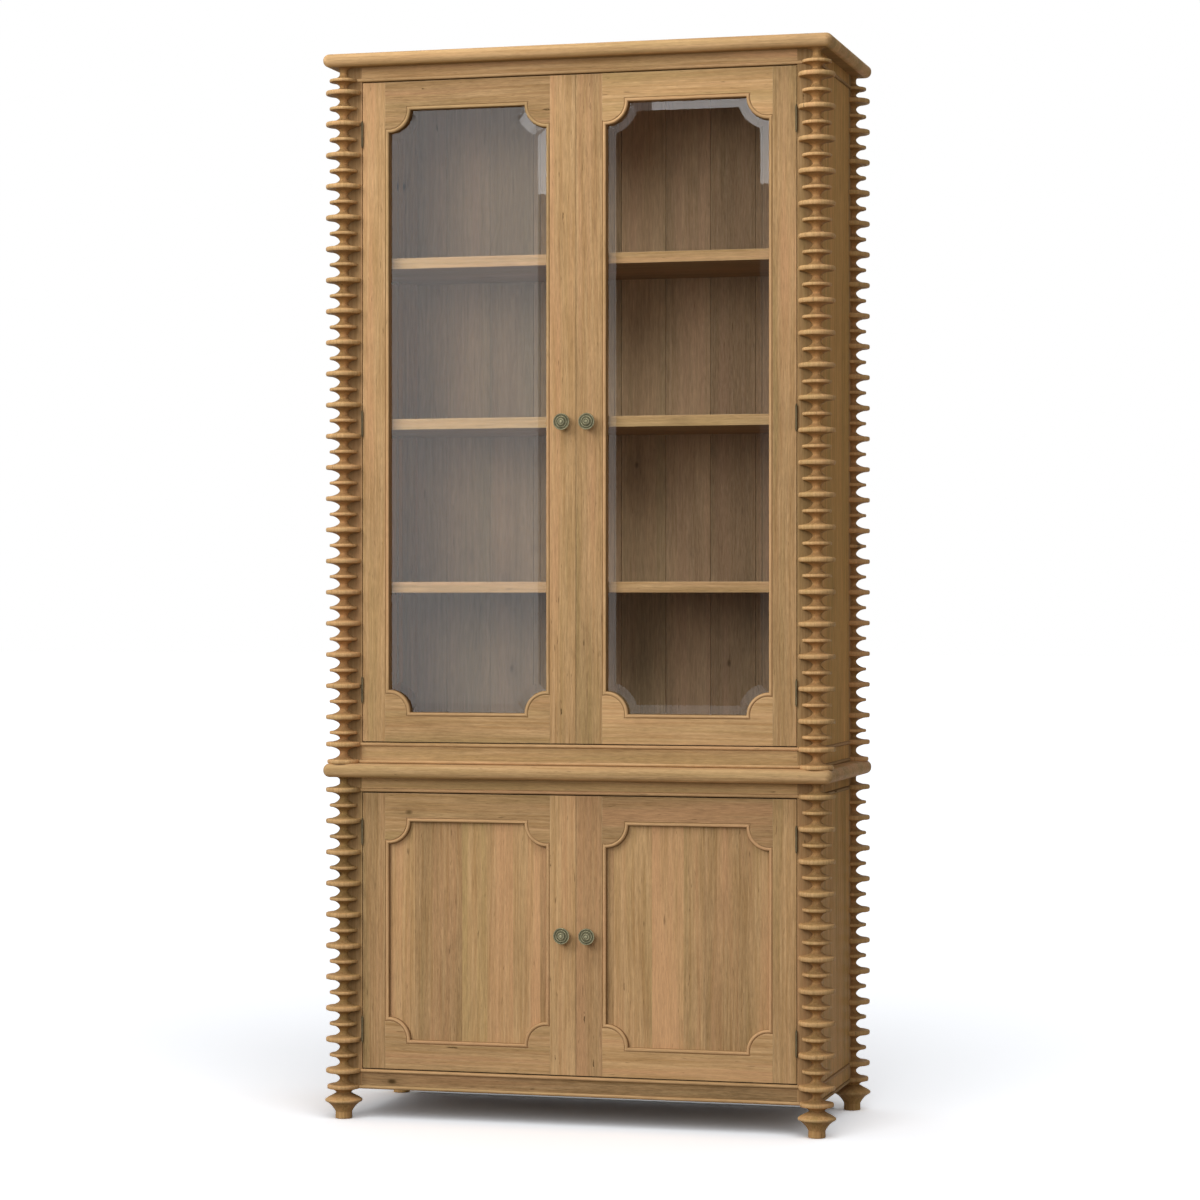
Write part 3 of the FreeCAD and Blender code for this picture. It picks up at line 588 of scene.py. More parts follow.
@dataclass(frozen=True)
class Figure:
    """The figure of waxed hardwood: staves, streaks, fibres, flecks, knots, checks and wear.

    Noises and cells are counted to the metre. A ramp carries a noise to what it does. Wear below
    zero darkens the wood as painted shade.
    """

    stave_randomness: float = 0.75
    stave_shift: Spot = (3.0, 5.0, 4.0)
    stave_hue: float = 0.28
    stave_value: float = 0.48
    sway: Noise = Noise((5.0, 5.0, 1.3))
    sway_reach: Ramp = ((0.2, 0.8), (-0.006, 0.006))
    streaks: Noise = Noise((180.0, 180.0, 4.5), 4.0)
    streak_dark: Ramp = ((0.33, 0.68), UNIT)
    streak_gloss: Ramp = ((0.3, 0.7), (0.43, 0.53))
    streak_relief: float = 0.6
    fibres: Noise = Noise((800.0, 800.0, 55.0), 3.0, 0.65)
    fibre_value: Ramp = ((0.3, 0.7), (-0.15, 0.11))
    mottle: Noise = Noise((290.0, 290.0, 24.0), 3.0, 0.7)
    mottle_value: Ramp = ((0.3, 0.7), (-0.13, 0.10))
    bands: Noise = Noise((19.0, 19.0, 0.8))
    band_value: Ramp = ((0.25, 0.75), (-0.13, 0.13))
    hues: Noise = Noise((95.0, 95.0, 2.4))
    hue_share: float = 0.45
    pink: Ramp = ((0.52, 0.72), (0.0, 0.75))
    olive: Ramp = ((0.47, 0.27), (0.0, 0.75))
    drift_size: float = 7.0
    drift_value: Ramp = (UNIT, (0.04, -0.05))
    board_hue: float = 0.03
    board_value: float = 0.035
    flecks: Noise = Noise((210.0, 210.0, 26.0))
    fleck: Ramp = ((0.69, 0.76), UNIT)
    fleck_share: float = 0.55
    knots: Spot = (10.0, 10.0, 5.6)
    knot_pick: tuple[int, Ramp] = (0, ((0.80, 0.82), UNIT))
    knot: Ramp = ((0.035, 0.075), (1.0, 0.0))
    halo: Ramp = ((0.03, 0.26), (0.5, 0.0))
    halo_value: float = -0.35
    checks: Spot = (62.0, 62.0, 6.5)
    check_pick: tuple[int, Ramp] = (1, ((0.895, 0.90), (0.0, 0.9)))
    check: Ramp = ((0.06, 0.12), (1.0, 0.0))
    jags: Noise = Noise((70.0, 70.0, 70.0))
    jag_reach: Ramp = ((0.3, 0.7), (-0.0014, 0.0014))
    mark_colour: Colour = (0.082, 0.048, 0.020, 1.0)
    mark_gloss: float = 0.2
    mark_relief: float = -1.1
    rub_fibre: Ramp = ((0.3, 0.6), (0.35, 1.0))
    rub: Ramp = ((0.1, 1.0), (0.0, 0.22))
    rub_colour: Colour = (0.74, 0.58, 0.36, 1.0)
    # Painted shade: where wear is below zero, in crevices and under parts, the colour darkens
    # towards a shade colour and the gloss dulls.
    painted_shade: Ramp = ((0.0, -1.0), (0.0, 0.62))
    painted_shade_gloss: Ramp = ((0.0, -1.0), (0.0, 0.15))
    painted_shade_colour: Colour = (0.112, 0.066, 0.024, 1.0)

    def group(self, patches: bpy.types.NodeTree) -> bpy.types.NodeTree:
        """Build the group.

        Args:
            patches: The group of soft patches.

        Returns:
            A group that puts out a colour, a roughness and a height.
        """
        inputs = {"Place": "Vector", "Looks": "Vector", "Stave Width": "Float",
                  "Stave Contrast": "Float", "Figure": "Float", "Light": "Color", "Dark": "Color",
                  "Pink": "Color", "Olive": "Color"}
        outputs = {"Color": "Color", "Roughness": "Float", "Height": "Float"}
        tree, bench, given, end = new_group("wood_grain", inputs, outputs)
        tone, hue, wear = bench.parts(given["Looks"])
        count = bench.sum("DIVIDE", bench.parts(given["Place"])[0], given["Stave Width"])
        sockets = {"W": count, "Scale": 1.0, "Randomness": self.stave_randomness}
        staves = bench.put("TexVoronoi", sockets, voronoi_dimensions="1D").outputs["Color"]
        _, stave_hue, stave_tone = bench.parts(staves)
        shifted = bench.steer("ADD", given["Place"],
                              bench.steer("MULTIPLY", staves, self.stave_shift))
        sway = bench.scaled(bench.noise(shifted, self.sway), self.sway_reach)
        wood = bench.steer("ADD", shifted, bench.vector(sway))
        streak, fine = bench.noise(wood, self.streaks), bench.noise(wood, self.fibres)
        mark, halo = self.marks(bench, wood)

        band = bench.noise(wood, self.bands)
        turn = bench.plus(band, hue, self.board_hue)
        turn = bench.plus(turn, bench.lean(stave_hue, given["Stave Contrast"]), self.stave_hue)
        offset = bench.sum("SUBTRACT", bench.noise(wood, self.hues), 0.5)
        turn = bench.plus(turn, offset, self.hue_share)
        colour = bench.blend(bench.scaled(streak, self.streak_dark), given["Light"], given["Dark"])
        colour = bench.blend(bench.scaled(turn, self.pink), colour, given["Pink"])
        colour = bench.blend(bench.scaled(turn, self.olive), colour, given["Olive"])

        value = bench.scaled(band, self.band_value)
        drift = bench.put("Group", {"Place": wood, "Size": self.drift_size}, node_tree=patches)
        for noise, ramp in ((fine, self.fibre_value),
                            (bench.noise(wood, self.mottle), self.mottle_value),
                            (drift.outputs[0], self.drift_value)):
            value = bench.sum("ADD", value, bench.scaled(noise, ramp))
        value = bench.sum("MULTIPLY_ADD", value, given["Figure"],
                          bench.plus(1.0, tone, self.board_value))
        shade = bench.lean(stave_tone, given["Stave Contrast"])
        value = bench.plus(bench.plus(value, shade, self.stave_value), halo, self.halo_value)
        colour = bench.blend(1.0, colour, bench.vector(value, value, value), "MULTIPLY")
        colour = bench.blend(mark, colour, self.mark_colour)
        rub = bench.sum("MULTIPLY", wear, bench.scaled(fine, self.rub_fibre))
        colour = bench.blend(bench.scaled(rub, self.rub), colour, self.rub_colour)
        # Painted shade in crevices and under parts, from wear below zero.
        colour = bench.blend(bench.scaled(wear, self.painted_shade), colour, self.painted_shade_colour)

        gloss = bench.plus(bench.scaled(streak, self.streak_gloss), mark, self.mark_gloss)
        gloss = bench.sum("ADD", gloss, bench.scaled(wear, self.painted_shade_gloss))
        relief = bench.plus(bench.plus(fine, streak, self.streak_relief), mark, self.mark_relief)
        bench.feed(end, {"Color": colour, "Roughness": gloss, "Height": relief})
        return tree

    def marks(self, bench: Bench, wood: bpy.types.NodeSocket) -> tuple[
            bpy.types.NodeSocket, bpy.types.NodeSocket]:
        """Flecks, small knots and checks in one mask, and the halo round the knots.

        Args:
            bench: The bench of the group.
            wood: Where in the wood.

        Returns:
            The two masks.
        """
        fleck = bench.scaled(bench.noise(wood, self.flecks), self.fleck)
        knot, halo = bench.spots(wood, self.knots, self.knot_pick, self.knot, self.halo)
        jag = bench.scaled(bench.noise(wood, self.jags), self.jag_reach)
        jagged = bench.steer("ADD", wood, bench.vector(jag, jag))
        check, = bench.spots(jagged, self.checks, self.check_pick, self.check)
        mark = bench.sum("MAXIMUM", bench.sum("MULTIPLY", fleck, self.fleck_share),
                         bench.sum("MAXIMUM", knot, check))
        return mark, halo


@dataclass(frozen=True)
class Tarnish:
    """Old bronze or brass: bright where it is rubbed, tarnished in its hollows."""

    broad_size: float = 90.0
    broad_share: float = 0.45
    small_size: float = 520.0
    small_share: float = 0.25
    small_relief: float = 0.5
    wear_share: float = -0.55
    coat: Ramp = ((0.15, 1.0), UNIT)
    gloss: Ramp = (UNIT, (0.28, 0.62))
    metal: Ramp = (UNIT, (1.0, 0.55))

    def group(self, patches: bpy.types.NodeTree) -> bpy.types.NodeTree:
        """Build the group.

        Args:
            patches: The group of soft patches.

        Returns:
            A group that puts out a colour, a roughness, a share of bare metal and a height.
        """
        inputs = {"Place": "Vector", "Looks": "Vector", "Bare": "Color", "Tarnish": "Color",
                  "Age": "Float"}
        outputs = {"Color": "Color", "Roughness": "Float", "Metal": "Float", "Height": "Float"}
        tree, bench, given, end = new_group("old_metal", inputs, outputs)
        broad, small = (bench.put("Group", {"Place": given["Place"], "Size": size},
                                  node_tree=patches).outputs[0]
                        for size in (self.broad_size, self.small_size))
        coat = bench.plus(given["Age"], broad, self.broad_share)
        coat = bench.plus(coat, small, self.small_share)
        coat = bench.plus(coat, bench.parts(given["Looks"])[2], self.wear_share)
        coat = bench.scaled(coat, self.coat)
        bench.feed(end, {"Color": bench.blend(coat, given["Bare"], given["Tarnish"]),
                         "Roughness": bench.scaled(coat, self.gloss),
                         "Metal": bench.scaled(coat, self.metal),
                         "Height": bench.plus(coat, small, self.small_relief)})
        return tree


@dataclass(frozen=True)
class WoodFinish:
    """A waxed wood: its colours, and the staves that a panel is glued from."""

    name: str
    light: Colour = (0.558, 0.356, 0.178, 1.0)
    dark: Colour = (0.400, 0.238, 0.104, 1.0)
    pink: Colour = (0.505, 0.284, 0.144, 1.0)
    olive: Colour = (0.450, 0.305, 0.133, 1.0)
    stave_width: float = 40.0
    stave_contrast: float = 0.0
    figure: float = 1.0
    relief: float = 0.00022
    relief_strength: float = 0.6
    shine: float = 0.008

    def material(self, group: bpy.types.NodeTree, place: Place = Place.OWN) -> bpy.types.Material:
        """Build the material.

        Args:
            group: The wood grain group.
            place: Where it finds the run of the grain.

        Returns:
            The material.
        """
        own = place is Place.OWN
        made, bench, nodes = new_material(self.name if own else f"{self.name}_{place.value}")
        sockets: dict = {"Stave Width": self.stave_width, "Stave Contrast": self.stave_contrast,
                         "Figure": self.figure, "Light": self.light, "Dark": self.dark,
                         "Pink": self.pink, "Olive": self.olive}
        if own:
            for label, name in (("Place", GRAIN_PLACE), ("Looks", BOARD_LOOKS)):
                sockets[label] = bench.put("Attribute", attribute_name=name).outputs["Vector"]
        else:
            along, across, through = bench.parts(bench.put("TexCoord").outputs["Object"])
            sockets["Place"] = bench.vector(across, through, along)
        wood = bench.put("Group", sockets, node_tree=group).outputs
        bump = bench.put("Bump", {"Height": wood["Height"], "Distance": self.relief,
                                  "Strength": self.relief_strength})
        bench.feed(nodes["Principled BSDF"], {
            "Base Color": wood["Color"], "Roughness": wood["Roughness"],
            "Normal": bump.outputs[0], "Specular IOR Level": self.shine})
        return made


@dataclass(frozen=True)
class MetalFinish:
    """Old bronze or brass; worn says whether its pieces carry their own wear."""

    name: str
    bare: Colour
    tarnish: Colour
    age: float
    worn: bool = True
    relief: float = 0.00012
    relief_strength: float = 0.5

    def material(self, group: bpy.types.NodeTree) -> bpy.types.Material:
        """Build the material.

        Args:
            group: The tarnish group.

        Returns:
            The material.
        """
        made, bench, nodes = new_material(self.name)
        sockets: dict = {"Bare": self.bare, "Tarnish": self.tarnish, "Age": self.age,
                         "Place": bench.put("TexCoord").outputs["Object"]}
        if self.worn:
            sockets["Looks"] = bench.put("Attribute", attribute_name=BOARD_LOOKS).outputs["Vector"]
        metal = bench.put("Group", sockets, node_tree=group).outputs
        bump = bench.put("Bump", {"Height": metal["Height"], "Distance": self.relief,
                                  "Strength": self.relief_strength})
        bench.feed(nodes["Principled BSDF"], {
            "Base Color": metal["Color"], "Roughness": metal["Roughness"],
            "Metallic": metal["Metal"], "Normal": bump.outputs[0]})
        return made


@dataclass(frozen=True)
class GlassFinish:
    """Clear polished glass with the faintest handling marks."""

    name: str = "pane_glass"
    tint: Colour = (0.965, 0.975, 0.972, 1.0)
    index: float = 1.5
    marks_size: float = 11.0
    marks: Ramp = (UNIT, (0.0, 0.012))

    def material(self, patches: bpy.types.NodeTree) -> bpy.types.Material:
        """Build the material; light passes the pane where a shadow or a diffuse ray meets it.

        Args:
            patches: The group of soft patches.

        Returns:
            The material.
        """
        made, bench, nodes = new_material(self.name)
        place = bench.put("TexCoord").outputs["Object"]
        marks = bench.put("Group", {"Place": place, "Size": self.marks_size}, node_tree=patches)
        shader = bench.feed(nodes["Principled BSDF"], {
            "Base Color": self.tint, "Transmission Weight": 1.0, "IOR": self.index,
            "Roughness": bench.scaled(marks.outputs[0], self.marks)})
        path = bench.put("LightPath").outputs
        passing = bench.sum("MAXIMUM", path["Is Shadow Ray"], path["Is Diffuse Ray"])
        clear = bench.put("BsdfTransparent", {"Color": self.tint}).outputs[0]
        both = bench.put("MixShader", {0: passing, 1: shader.outputs[0], 2: clear})
        bench.feed(nodes["Material Output"], {"Surface": both.outputs[0]})
        return made


BOARD = WoodFinish("board_wood")
PANEL = WoodFinish("staved_wood", stave_width=0.062, stave_contrast=0.78)
# Painted shade: the side panels have their own warmer, more saturated copy of the wood, as the
# sides look in shade.
SIDE = WoodFinish("side_wood", (0.612, 0.349, 0.132, 1.0), (0.427, 0.232, 0.077, 1.0),
                  (0.550, 0.290, 0.112, 1.0), (0.487, 0.304, 0.106, 1.0),
                  stave_width=0.074, stave_contrast=0.36, shine=0.012)
COLUMN = WoodFinish("column_wood", (0.582, 0.354, 0.154, 1.0), (0.417, 0.235, 0.088, 1.0),
                    (0.525, 0.281, 0.123, 1.0), (0.469, 0.302, 0.112, 1.0), shine=0.03)
# Painted light: the inside wood, and the level wood copied from it, are lightened to stand in for
# light that hardly reaches inside the case.
INSIDE = WoodFinish("inside_wood", (0.466, 0.318, 0.187, 1.0), (0.376, 0.247, 0.139, 1.0),
                    (0.428, 0.270, 0.165, 1.0), (0.396, 0.286, 0.157, 1.0),
                    figure=1.25, shine=0.06)
LEVEL = replace(INSIDE, stave_width=0.075, stave_contrast=0.4)
KNOB = MetalFinish("knob_bronze", (0.36, 0.33, 0.205, 1.0), (0.135, 0.125, 0.070, 1.0), 0.35)
HINGE = MetalFinish("hinge_bronze", (0.165, 0.130, 0.072, 1.0), (0.072, 0.058, 0.031, 1.0), 0.55)
BRASS = MetalFinish("catch_brass", (0.60, 0.43, 0.17, 1.0), (0.23, 0.17, 0.08, 1.0), 0.10,
                    worn=False)


class Finishes:
    """Every finish of the cabinet, built once."""

    def __init__(self) -> None:
        """Build the shared groups and the materials."""
        patches = Patches().group()
        grain, tarnish = Figure().group(patches), Tarnish().group(patches)
        self.board, self.panel = BOARD.material(grain), PANEL.material(grain)
        self.side, self.column = SIDE.material(grain), COLUMN.material(grain)
        self.inside, self.level = INSIDE.material(grain), LEVEL.material(grain, Place.ALONG_X)
        self.knob, self.hinge = KNOB.material(tarnish), HINGE.material(tarnish)
        self.brass = BRASS.material(tarnish)
        self.glass = GlassFinish().material(patches)


@dataclass
class Case:
    """Sizes that the sub-assemblies share, from the part's own source."""

    corner_x: float = 529.0
    corner_y: float = 202.5
    post: float = 42.3
    side: float = 18.0
    rail: float = 22.0
    lower: Span = (66.0, 750.0)
    upper: Span = (780.0, 2307.0)
    top: float = 2335.0

    @property
    def inner_x(self) -> float:
        """Inner face of a post."""
        return self.corner_x - self.post

    @property
    def inner_y(self) -> float:
        """The same from front to back."""
        return self.corner_y - self.post

    @property
    def axis(self) -> Spot:
        """Foot of the front right column's axis."""
        return self.corner_x, -self.corner_y, 0.0


@dataclass
class Assembly:
    """A sub-assembly, which is built from the shared sizes and in the shared finishes."""

    case: Case
    finishes: Finishes


@dataclass(frozen=True)
class Disc:
    """One disc of a column: its radius, half its rim and how far the rim is rounded."""

    radius: float
    half: float
    ease: float


LARGE, SMALL, MIDDLE = Disc(39.5, 5.0, 3.2), Disc(31.5, 3.4, 2.4), Disc(36.5, 4.6, 3.0)


@dataclass(frozen=True)
class Row:
    """Like discs at the column's pitch: height of the first, how many, and their shape."""

    first: float
    count: int
    disc: Disc


@dataclass
class Columns(Assembly):
    """Eight turned columns: thin discs on a slim core, with hollow coves between."""

    pitch: float = 68.5
    lower: tuple[Row, ...] = (Row(70.0, 1, MIDDLE), Row(105.5, 10, LARGE), Row(139.75, 9, SMALL))
    upper: tuple[Row, ...] = (Row(784.0, 1, MIDDLE), Row(822.0, 1, LARGE), Row(847.3, 1, SMALL),
                              Row(881.6, 21, LARGE), Row(915.85, 20, SMALL), Row(2279.0, 1, SMALL))
    core: float = 9.0
    crown: float = 21.0
    crown_height: float = 8.0
    # Painted shade in the crown's cove, where the column meets the case above.
    crown_painted_shade: float = -0.6
    round_steps: int = 55
    rim_steps: int = 7
    rim_power: float = 0.75
    rim_wear: Span = (0.1, 0.75)
    cove_steps: int = 8
    cove_power: float = 1.15
    # Painted shade in the coves: darker at the rim's edge and halfway in, less at the neck, and
    # darkest just under each disc.
    painted_shade_above: Spot = (-0.28, -0.4, 0.22)
    painted_shade_below: Spot = (-0.68, -0.2, 0.58)
    disc_drift: float = 0.8
    seat: Line = ((16.3, 57.0), (18.2, 59.4), (22.6, 62.4), (29.5, 64.7), (35.2, 65.9),
                  (36.3, 66.3))
    seat_steps: int = 4
    # Painted shade on the seat under the column.
    seat_painted_shade: float = -0.35

    def build(self) -> None:
        """Make all eight columns."""
        lower, upper = Draft("lower", 11), Draft("upper", 12)
        self.turn(lower, self.lower, self.case.lower[1])
        self.turn(upper, self.upper, self.case.upper[1])
        seat = flowing(self.seat, self.seat_steps)
        lower.turning(seat, np.full(len(seat), self.seat_painted_shade), self.case.axis, TURNED_STEPS)
        spread(lower, "lower_column", self.finishes.column, 20)
        spread(upper, "upper_column", self.finishes.column, 30)

    def turn(self, draft: Draft, rows: tuple[Row, ...], top: float) -> None:
        """Turn a column whose discs differ a little in tone and hue.

        Args:
            draft: The mesh that takes it.
            rows: Its discs.
            top: Where its core ends.
        """
        discs = sorted(((row.first + self.pitch * step, row.disc)
                        for row in rows for step in range(row.count)), key=lambda disc: disc[0])
        profile, wear = self.profile(discs, top)
        heights = np.array([height for height, _ in discs])
        nearest = np.argmin(np.abs(profile[:, 1:2] - heights), axis=1)
        tones = draft.random.normal(0.0, self.disc_drift, (len(discs), 2))[nearest]
        draft.turning(profile, wear, self.case.axis, self.round_steps, cut=True, tones=tones)

    def profile(self, discs: list[tuple[float, Disc]], top: float) -> tuple[
            np.ndarray, np.ndarray]:
        """Outline of a column.

        Args:
            discs: Height and shape of each disc, from the lowest up.
            top: Where the core ends.

        Returns:
            Radius and height of each ring, and its wear.
        """
        rings: list[Span] = []
        wear: list[float] = []
        for step, (height, disc) in enumerate(discs):
            rim = disc.radius - disc.ease
            if step:
                room = height - discs[step - 1][0]
                self.flank(rings, wear, (rim, disc.half, height), -1.0, room / 2)
            for turn in np.linspace(-QUARTER, QUARTER, self.rim_steps):
                rings.append((rim + disc.ease * math.cos(turn) ** self.rim_power,
                              height + disc.half * math.sin(turn)))
                wear.append(self.rim_wear[0] + self.rim_wear[1] * math.cos(turn))
            room = (discs[step + 1][0] if step + 1 < len(discs) else top) - height
            self.flank(rings, wear, (rim, disc.half, height), 1.0, room / 2)
        for turn in np.linspace(0.0, QUARTER, self.cove_steps):
            rings.append((self.crown - (self.crown - self.core) * math.cos(turn),
                          top - self.crown_height * (1 - math.sin(turn))))
            wear.append(self.crown_painted_shade)
        return np.array(rings), np.array(wear)

    def flank(self, rings: list[Span], wear: list[float], rim: Spot, way: float,
              room: float) -> None:
        """Add one hollow side of a disc, from its rim to the core or back.

        Args:
            rings: The rings so far.
            wear: Their wear, painted shade in the hollow.
            rim: Radius where the hollow starts, half the rim, and the disc's height.
            way: 1 above the disc, -1 below it.
            room: Height from the disc's middle to where the hollow ends.
        """
        radius, half, height = rim
        reach = min(room, self.pitch / 4)
        edge, hollow, neck = self.painted_shade_above if way > 0 else self.painted_shade_below
        turns = np.linspace(0.0, QUARTER, self.cove_steps + 1)[1:]
        for turn in turns if way > 0 else turns[::-1]:
            inward = math.sin(turn) ** self.cove_power
            rise = half + (reach - half) * (1 - math.cos(turn) ** self.cove_power)
            rings.append((radius - (radius - self.core) * inward, height + way * rise))
            # Painted shade in the hollow.
            wear.append(edge + hollow * math.sin(2 * turn) + neck * inward)


def spread(draft: Draft, node: str, material: bpy.types.Material, seed: int) -> None:
    """Stand four twins of a corner piece at the corners.

    Args:
        draft: The front right one.
        node: Start of the four nodes' names.
        material: Their finish.
        seed: Start of their random draws.
    """
    corners = (("front_right", 1.0, 1.0), ("front_left", -1.0, 1.0),
               ("back_right", 1.0, -1.0), ("back_left", -1.0, -1.0))
    for step, (corner, flip_x, flip_y) in enumerate(corners):
        twin = draft.mirrored((flip_x, flip_y, 1.0), f"{node}_{corner}", seed + step)
        if flip_y < 0:
            for looks in twin.looks:
                looks[:, 0] += BACK_PAINTED_LIGHT
        install(twin, material)


@dataclass
class Feet(Assembly):
    """Four turned feet: a hollow-sided stump, a thin disc and a neck."""

    stump: Line = ((16.8, 0.0), (18.2, 0.6), (18.6, 2.2), (18.4, 9.0), (18.3, 15.2), (19.3, 16.8),
                   (20.8, 20.0), (25.6, 26.6), (31.2, 32.2), (36.4, 35.8), (39.2, 37.2))
    rim: Line = ((39.2, 37.2), (40.7, 38.6), (40.96, 40.2), (40.8, 41.8), (39.5, 43.1))
    neck: Line = ((39.5, 43.1), (37.2, 44.8), (33.2, 47.3), (28.0, 50.0), (22.6, 52.8),
                  (18.3, 55.4), (16.3, 57.0))
    line_steps: int = 3
    # Wear at the stump's foot, and painted shade up to the underside of the disc; the neck darkens
    # with painted shade up to the seat.
    stump_wear_and_shade: Span = (0.3, -0.3)
    rim_wear: float = 0.9
    neck_painted_shade: Span = (0.0, -0.7)

    def build(self) -> None:
        """Make the four feet."""
        stump, rim, neck = (flowing(line, self.line_steps)
                            for line in (self.stump, self.rim, self.neck))
        wear = np.concatenate([np.linspace(*self.stump_wear_and_shade, len(stump) - 1),
                               np.full(len(rim) - 1, self.rim_wear),
                               np.linspace(*self.neck_painted_shade, len(neck))])
        foot = Draft("foot", 13)
        foot.turning(np.vstack([stump[:-1], rim[:-1], neck]), wear, self.case.axis, TURNED_STEPS)
        spread(foot, "foot", self.finishes.column, 40)


@dataclass
class Carcase(Assembly):
    """Posts, rails, side panels and the two bullnosed boards; tones say how light a board is."""

    fine_arris: float = 0.35
    # Painted shade on the posts beside the columns.
    painted_shade: float = 0.55
    face_painted_shade: float = 0.7
    apron: float = 109.5
    lower_frieze: float = 718.0
    base: float = 826.0
    upper_frieze: float = 2275.0
    # Painted light and shade in the rail tones: the apron is darker, as light falls off towards
    # the floor, and the lower frieze lighter against the waist board's shadow.
    apron_painted_shade: float = -9.4
    frieze_painted_light: float = 5.8
    base_tone: float = -1.5
    cornice_tone: float = -1.0
    overhang: float = 39.0
    corner_round: float = 16.0
    corner_least: float = 0.5
    corner_steps: int = 13
    bullnose: float = 0.48
    bullnose_steps: int = 15
    edge_wear: float = 0.35
    # Painted shade: the underside of the board is darkened.
    underside_painted_shade: float = -0.8
    # Painted light: the lower half of the bullnose is lightened, standing in for light from below.
    lower_nose_painted_light: float = 6.0
    # Painted light: the waist and top boards are lighter, as light from above falls on them.
    waist_painted_light: float = 1.6
    top_painted_light: float = 3.4

    def build(self) -> None:
        """Make every outer board of both cases."""
        case = self.case
        self.posts("lower", case.lower, 51)
        self.sides("lower", case.lower, (58, 56))
        self.posts("upper", case.upper, 52)
        self.sides("upper", case.upper, (54, 52))
        self.rails("lower", {(case.lower[0], self.apron): self.apron_painted_shade,
                             (self.lower_frieze, case.lower[1]): self.frieze_painted_light}, 58)
        self.rails("upper", {(case.upper[0], self.base): self.base_tone,
                             (self.upper_frieze, case.upper[1]): self.cornice_tone}, 59)
        self.board("waist_board", (case.lower[1], case.upper[0]), self.waist_painted_light,
                   self.finishes.board, 61)
        self.board("top_board", (case.upper[1], case.top), self.top_painted_light,
                   self.finishes.panel, 62)

    def posts(self, level: str, span: Span, seed: int) -> None:
        """Four square posts of one case, with painted shade beside the columns.

        Args:
            level: Which case.
            span: Their feet and their tops.
            seed: Start of their random draws.
        """
        case = self.case
        draft = Draft(f"{level}_corner_posts", seed)
        for side in (1, -1):
            across = ordered(side * case.inner_x, side * case.corner_x)
            for depth in ((-case.corner_y, -case.inner_y), (case.inner_y, case.corner_y)):
                draft.plate(rectangle(across, span), depth, Lie.FRONT, Grain.UPRIGHT_FRONT,
                            self.fine_arris)
                # Painted shade: wear falls towards the corner that the column's discs shade, and
                # further on the front and back faces.
                plan = np.abs(draft.points[-1][:, 0:2]) / METRES - (case.corner_x, case.corner_y)
                near = np.clip(1 - np.hypot(plan[:, 0], plan[:, 1]) / case.post, 0.0, 1.0)
                faced = np.abs(plan[:, 1]) < self.fine_arris
                draft.looks[-1][:, 2] -= self.painted_shade * near + self.face_painted_shade * faced
        install(draft, self.finishes.board)

    def sides(self, level: str, span: Span, seeds: tuple[int, int]) -> None:
        """Both side panels of one case, glued from upright staves.

        Args:
            level: Which case.
            span: Their feet and their tops.
            seeds: Starts of their random draws.
        """
        case = self.case
        for name, side, seed in (("right", 1, seeds[0]), ("left", -1, seeds[1])):
            draft = Draft(f"{level}_side_{name}", seed)
            depth = ordered(side * (case.corner_x - case.side), side * case.corner_x)
            draft.plate(rectangle((-case.inner_y, case.inner_y), span), depth, Lie.SIDE,
                        Grain.UPRIGHT_SIDE, self.fine_arris)
            install(draft, self.finishes.side)

    def rails(self, level: str, spans: dict[Span, float], seed: int) -> None:
        """The front rails of one case, flush with its posts.

        Args:
            level: Which case.
            spans: The two edges of each rail, with its tone.
            seed: Start of their random draws.
        """
        case = self.case
        draft = Draft(f"{level}_front_rails", seed)
        for span, tone in spans.items():
            draft.plate(rectangle((-case.inner_x, case.inner_x), span),
                        (-case.corner_y, case.rail - case.corner_y), Lie.FRONT,
                        Grain.LEVEL_FRONT, self.fine_arris)
            draft.tint(tone)
        install(draft, self.finishes.board)

    def board(self, node: str, span: Span, tone: float, material: bpy.types.Material,
              seed: int) -> None:
        """One board with rounded corners and a half-round edge.

        Args:
            node: The node that it stands for.
            span: Its underside and its top.
            tone: How light it is.
            material: Its finish.
            seed: Start of its random draws.
        """
        half = np.array([self.case.corner_x, self.case.corner_y]) + self.overhang
        turns = [(x, y, turn * QUARTER) for x, y, start in ((1, 1, 0), (-1, 1, 1), (-1, -1, 2),
                                                            (1, -1, 3))
                 for turn in np.linspace(start, start + 1, self.corner_steps)]
        corners = np.array([(x, y, math.cos(turn), math.sin(turn)) for x, y, turn in turns])
        radius = (span[1] - span[0]) * self.bullnose
        middle, flat = (span[0] + span[1]) / 2, (span[1] - span[0]) / 2 - radius
        steps = [(radius + EDGE_BAND, span[0], self.underside_painted_shade)]
        for turn in np.linspace(-QUARTER, QUARTER, self.bullnose_steps):
            level = middle + math.copysign(flat, math.sin(turn)) + radius * math.sin(turn)
            steps.append((radius * (1 - math.cos(turn)), level,
                          self.edge_wear * math.cos(turn) ** 2))
        steps.append((radius + EDGE_BAND, span[1], 0.0))
        rings = []
        for distance, level, _ in steps:
            rounding = max(self.corner_round - distance, self.corner_least)
            centre = half - max(self.corner_round, distance + self.corner_least)
            ring = corners[:, 0:2] * centre + corners[:, 2:4] * rounding
            rings.append(np.column_stack([ring, np.full(len(ring), level)]))
        draft = Draft(node, seed)
        draft.loops(rings, np.array([wear for _, _, wear in steps]), grain=Grain.LEVEL_TOP)
        # Painted light on the lower half of the bullnose.
        below = (middle - draft.points[-1][:, 2] / METRES) / (middle - span[0])
        draft.tint(tone + self.lower_nose_painted_light * np.clip(below, 0.0, 1.0))
        install(draft, material)


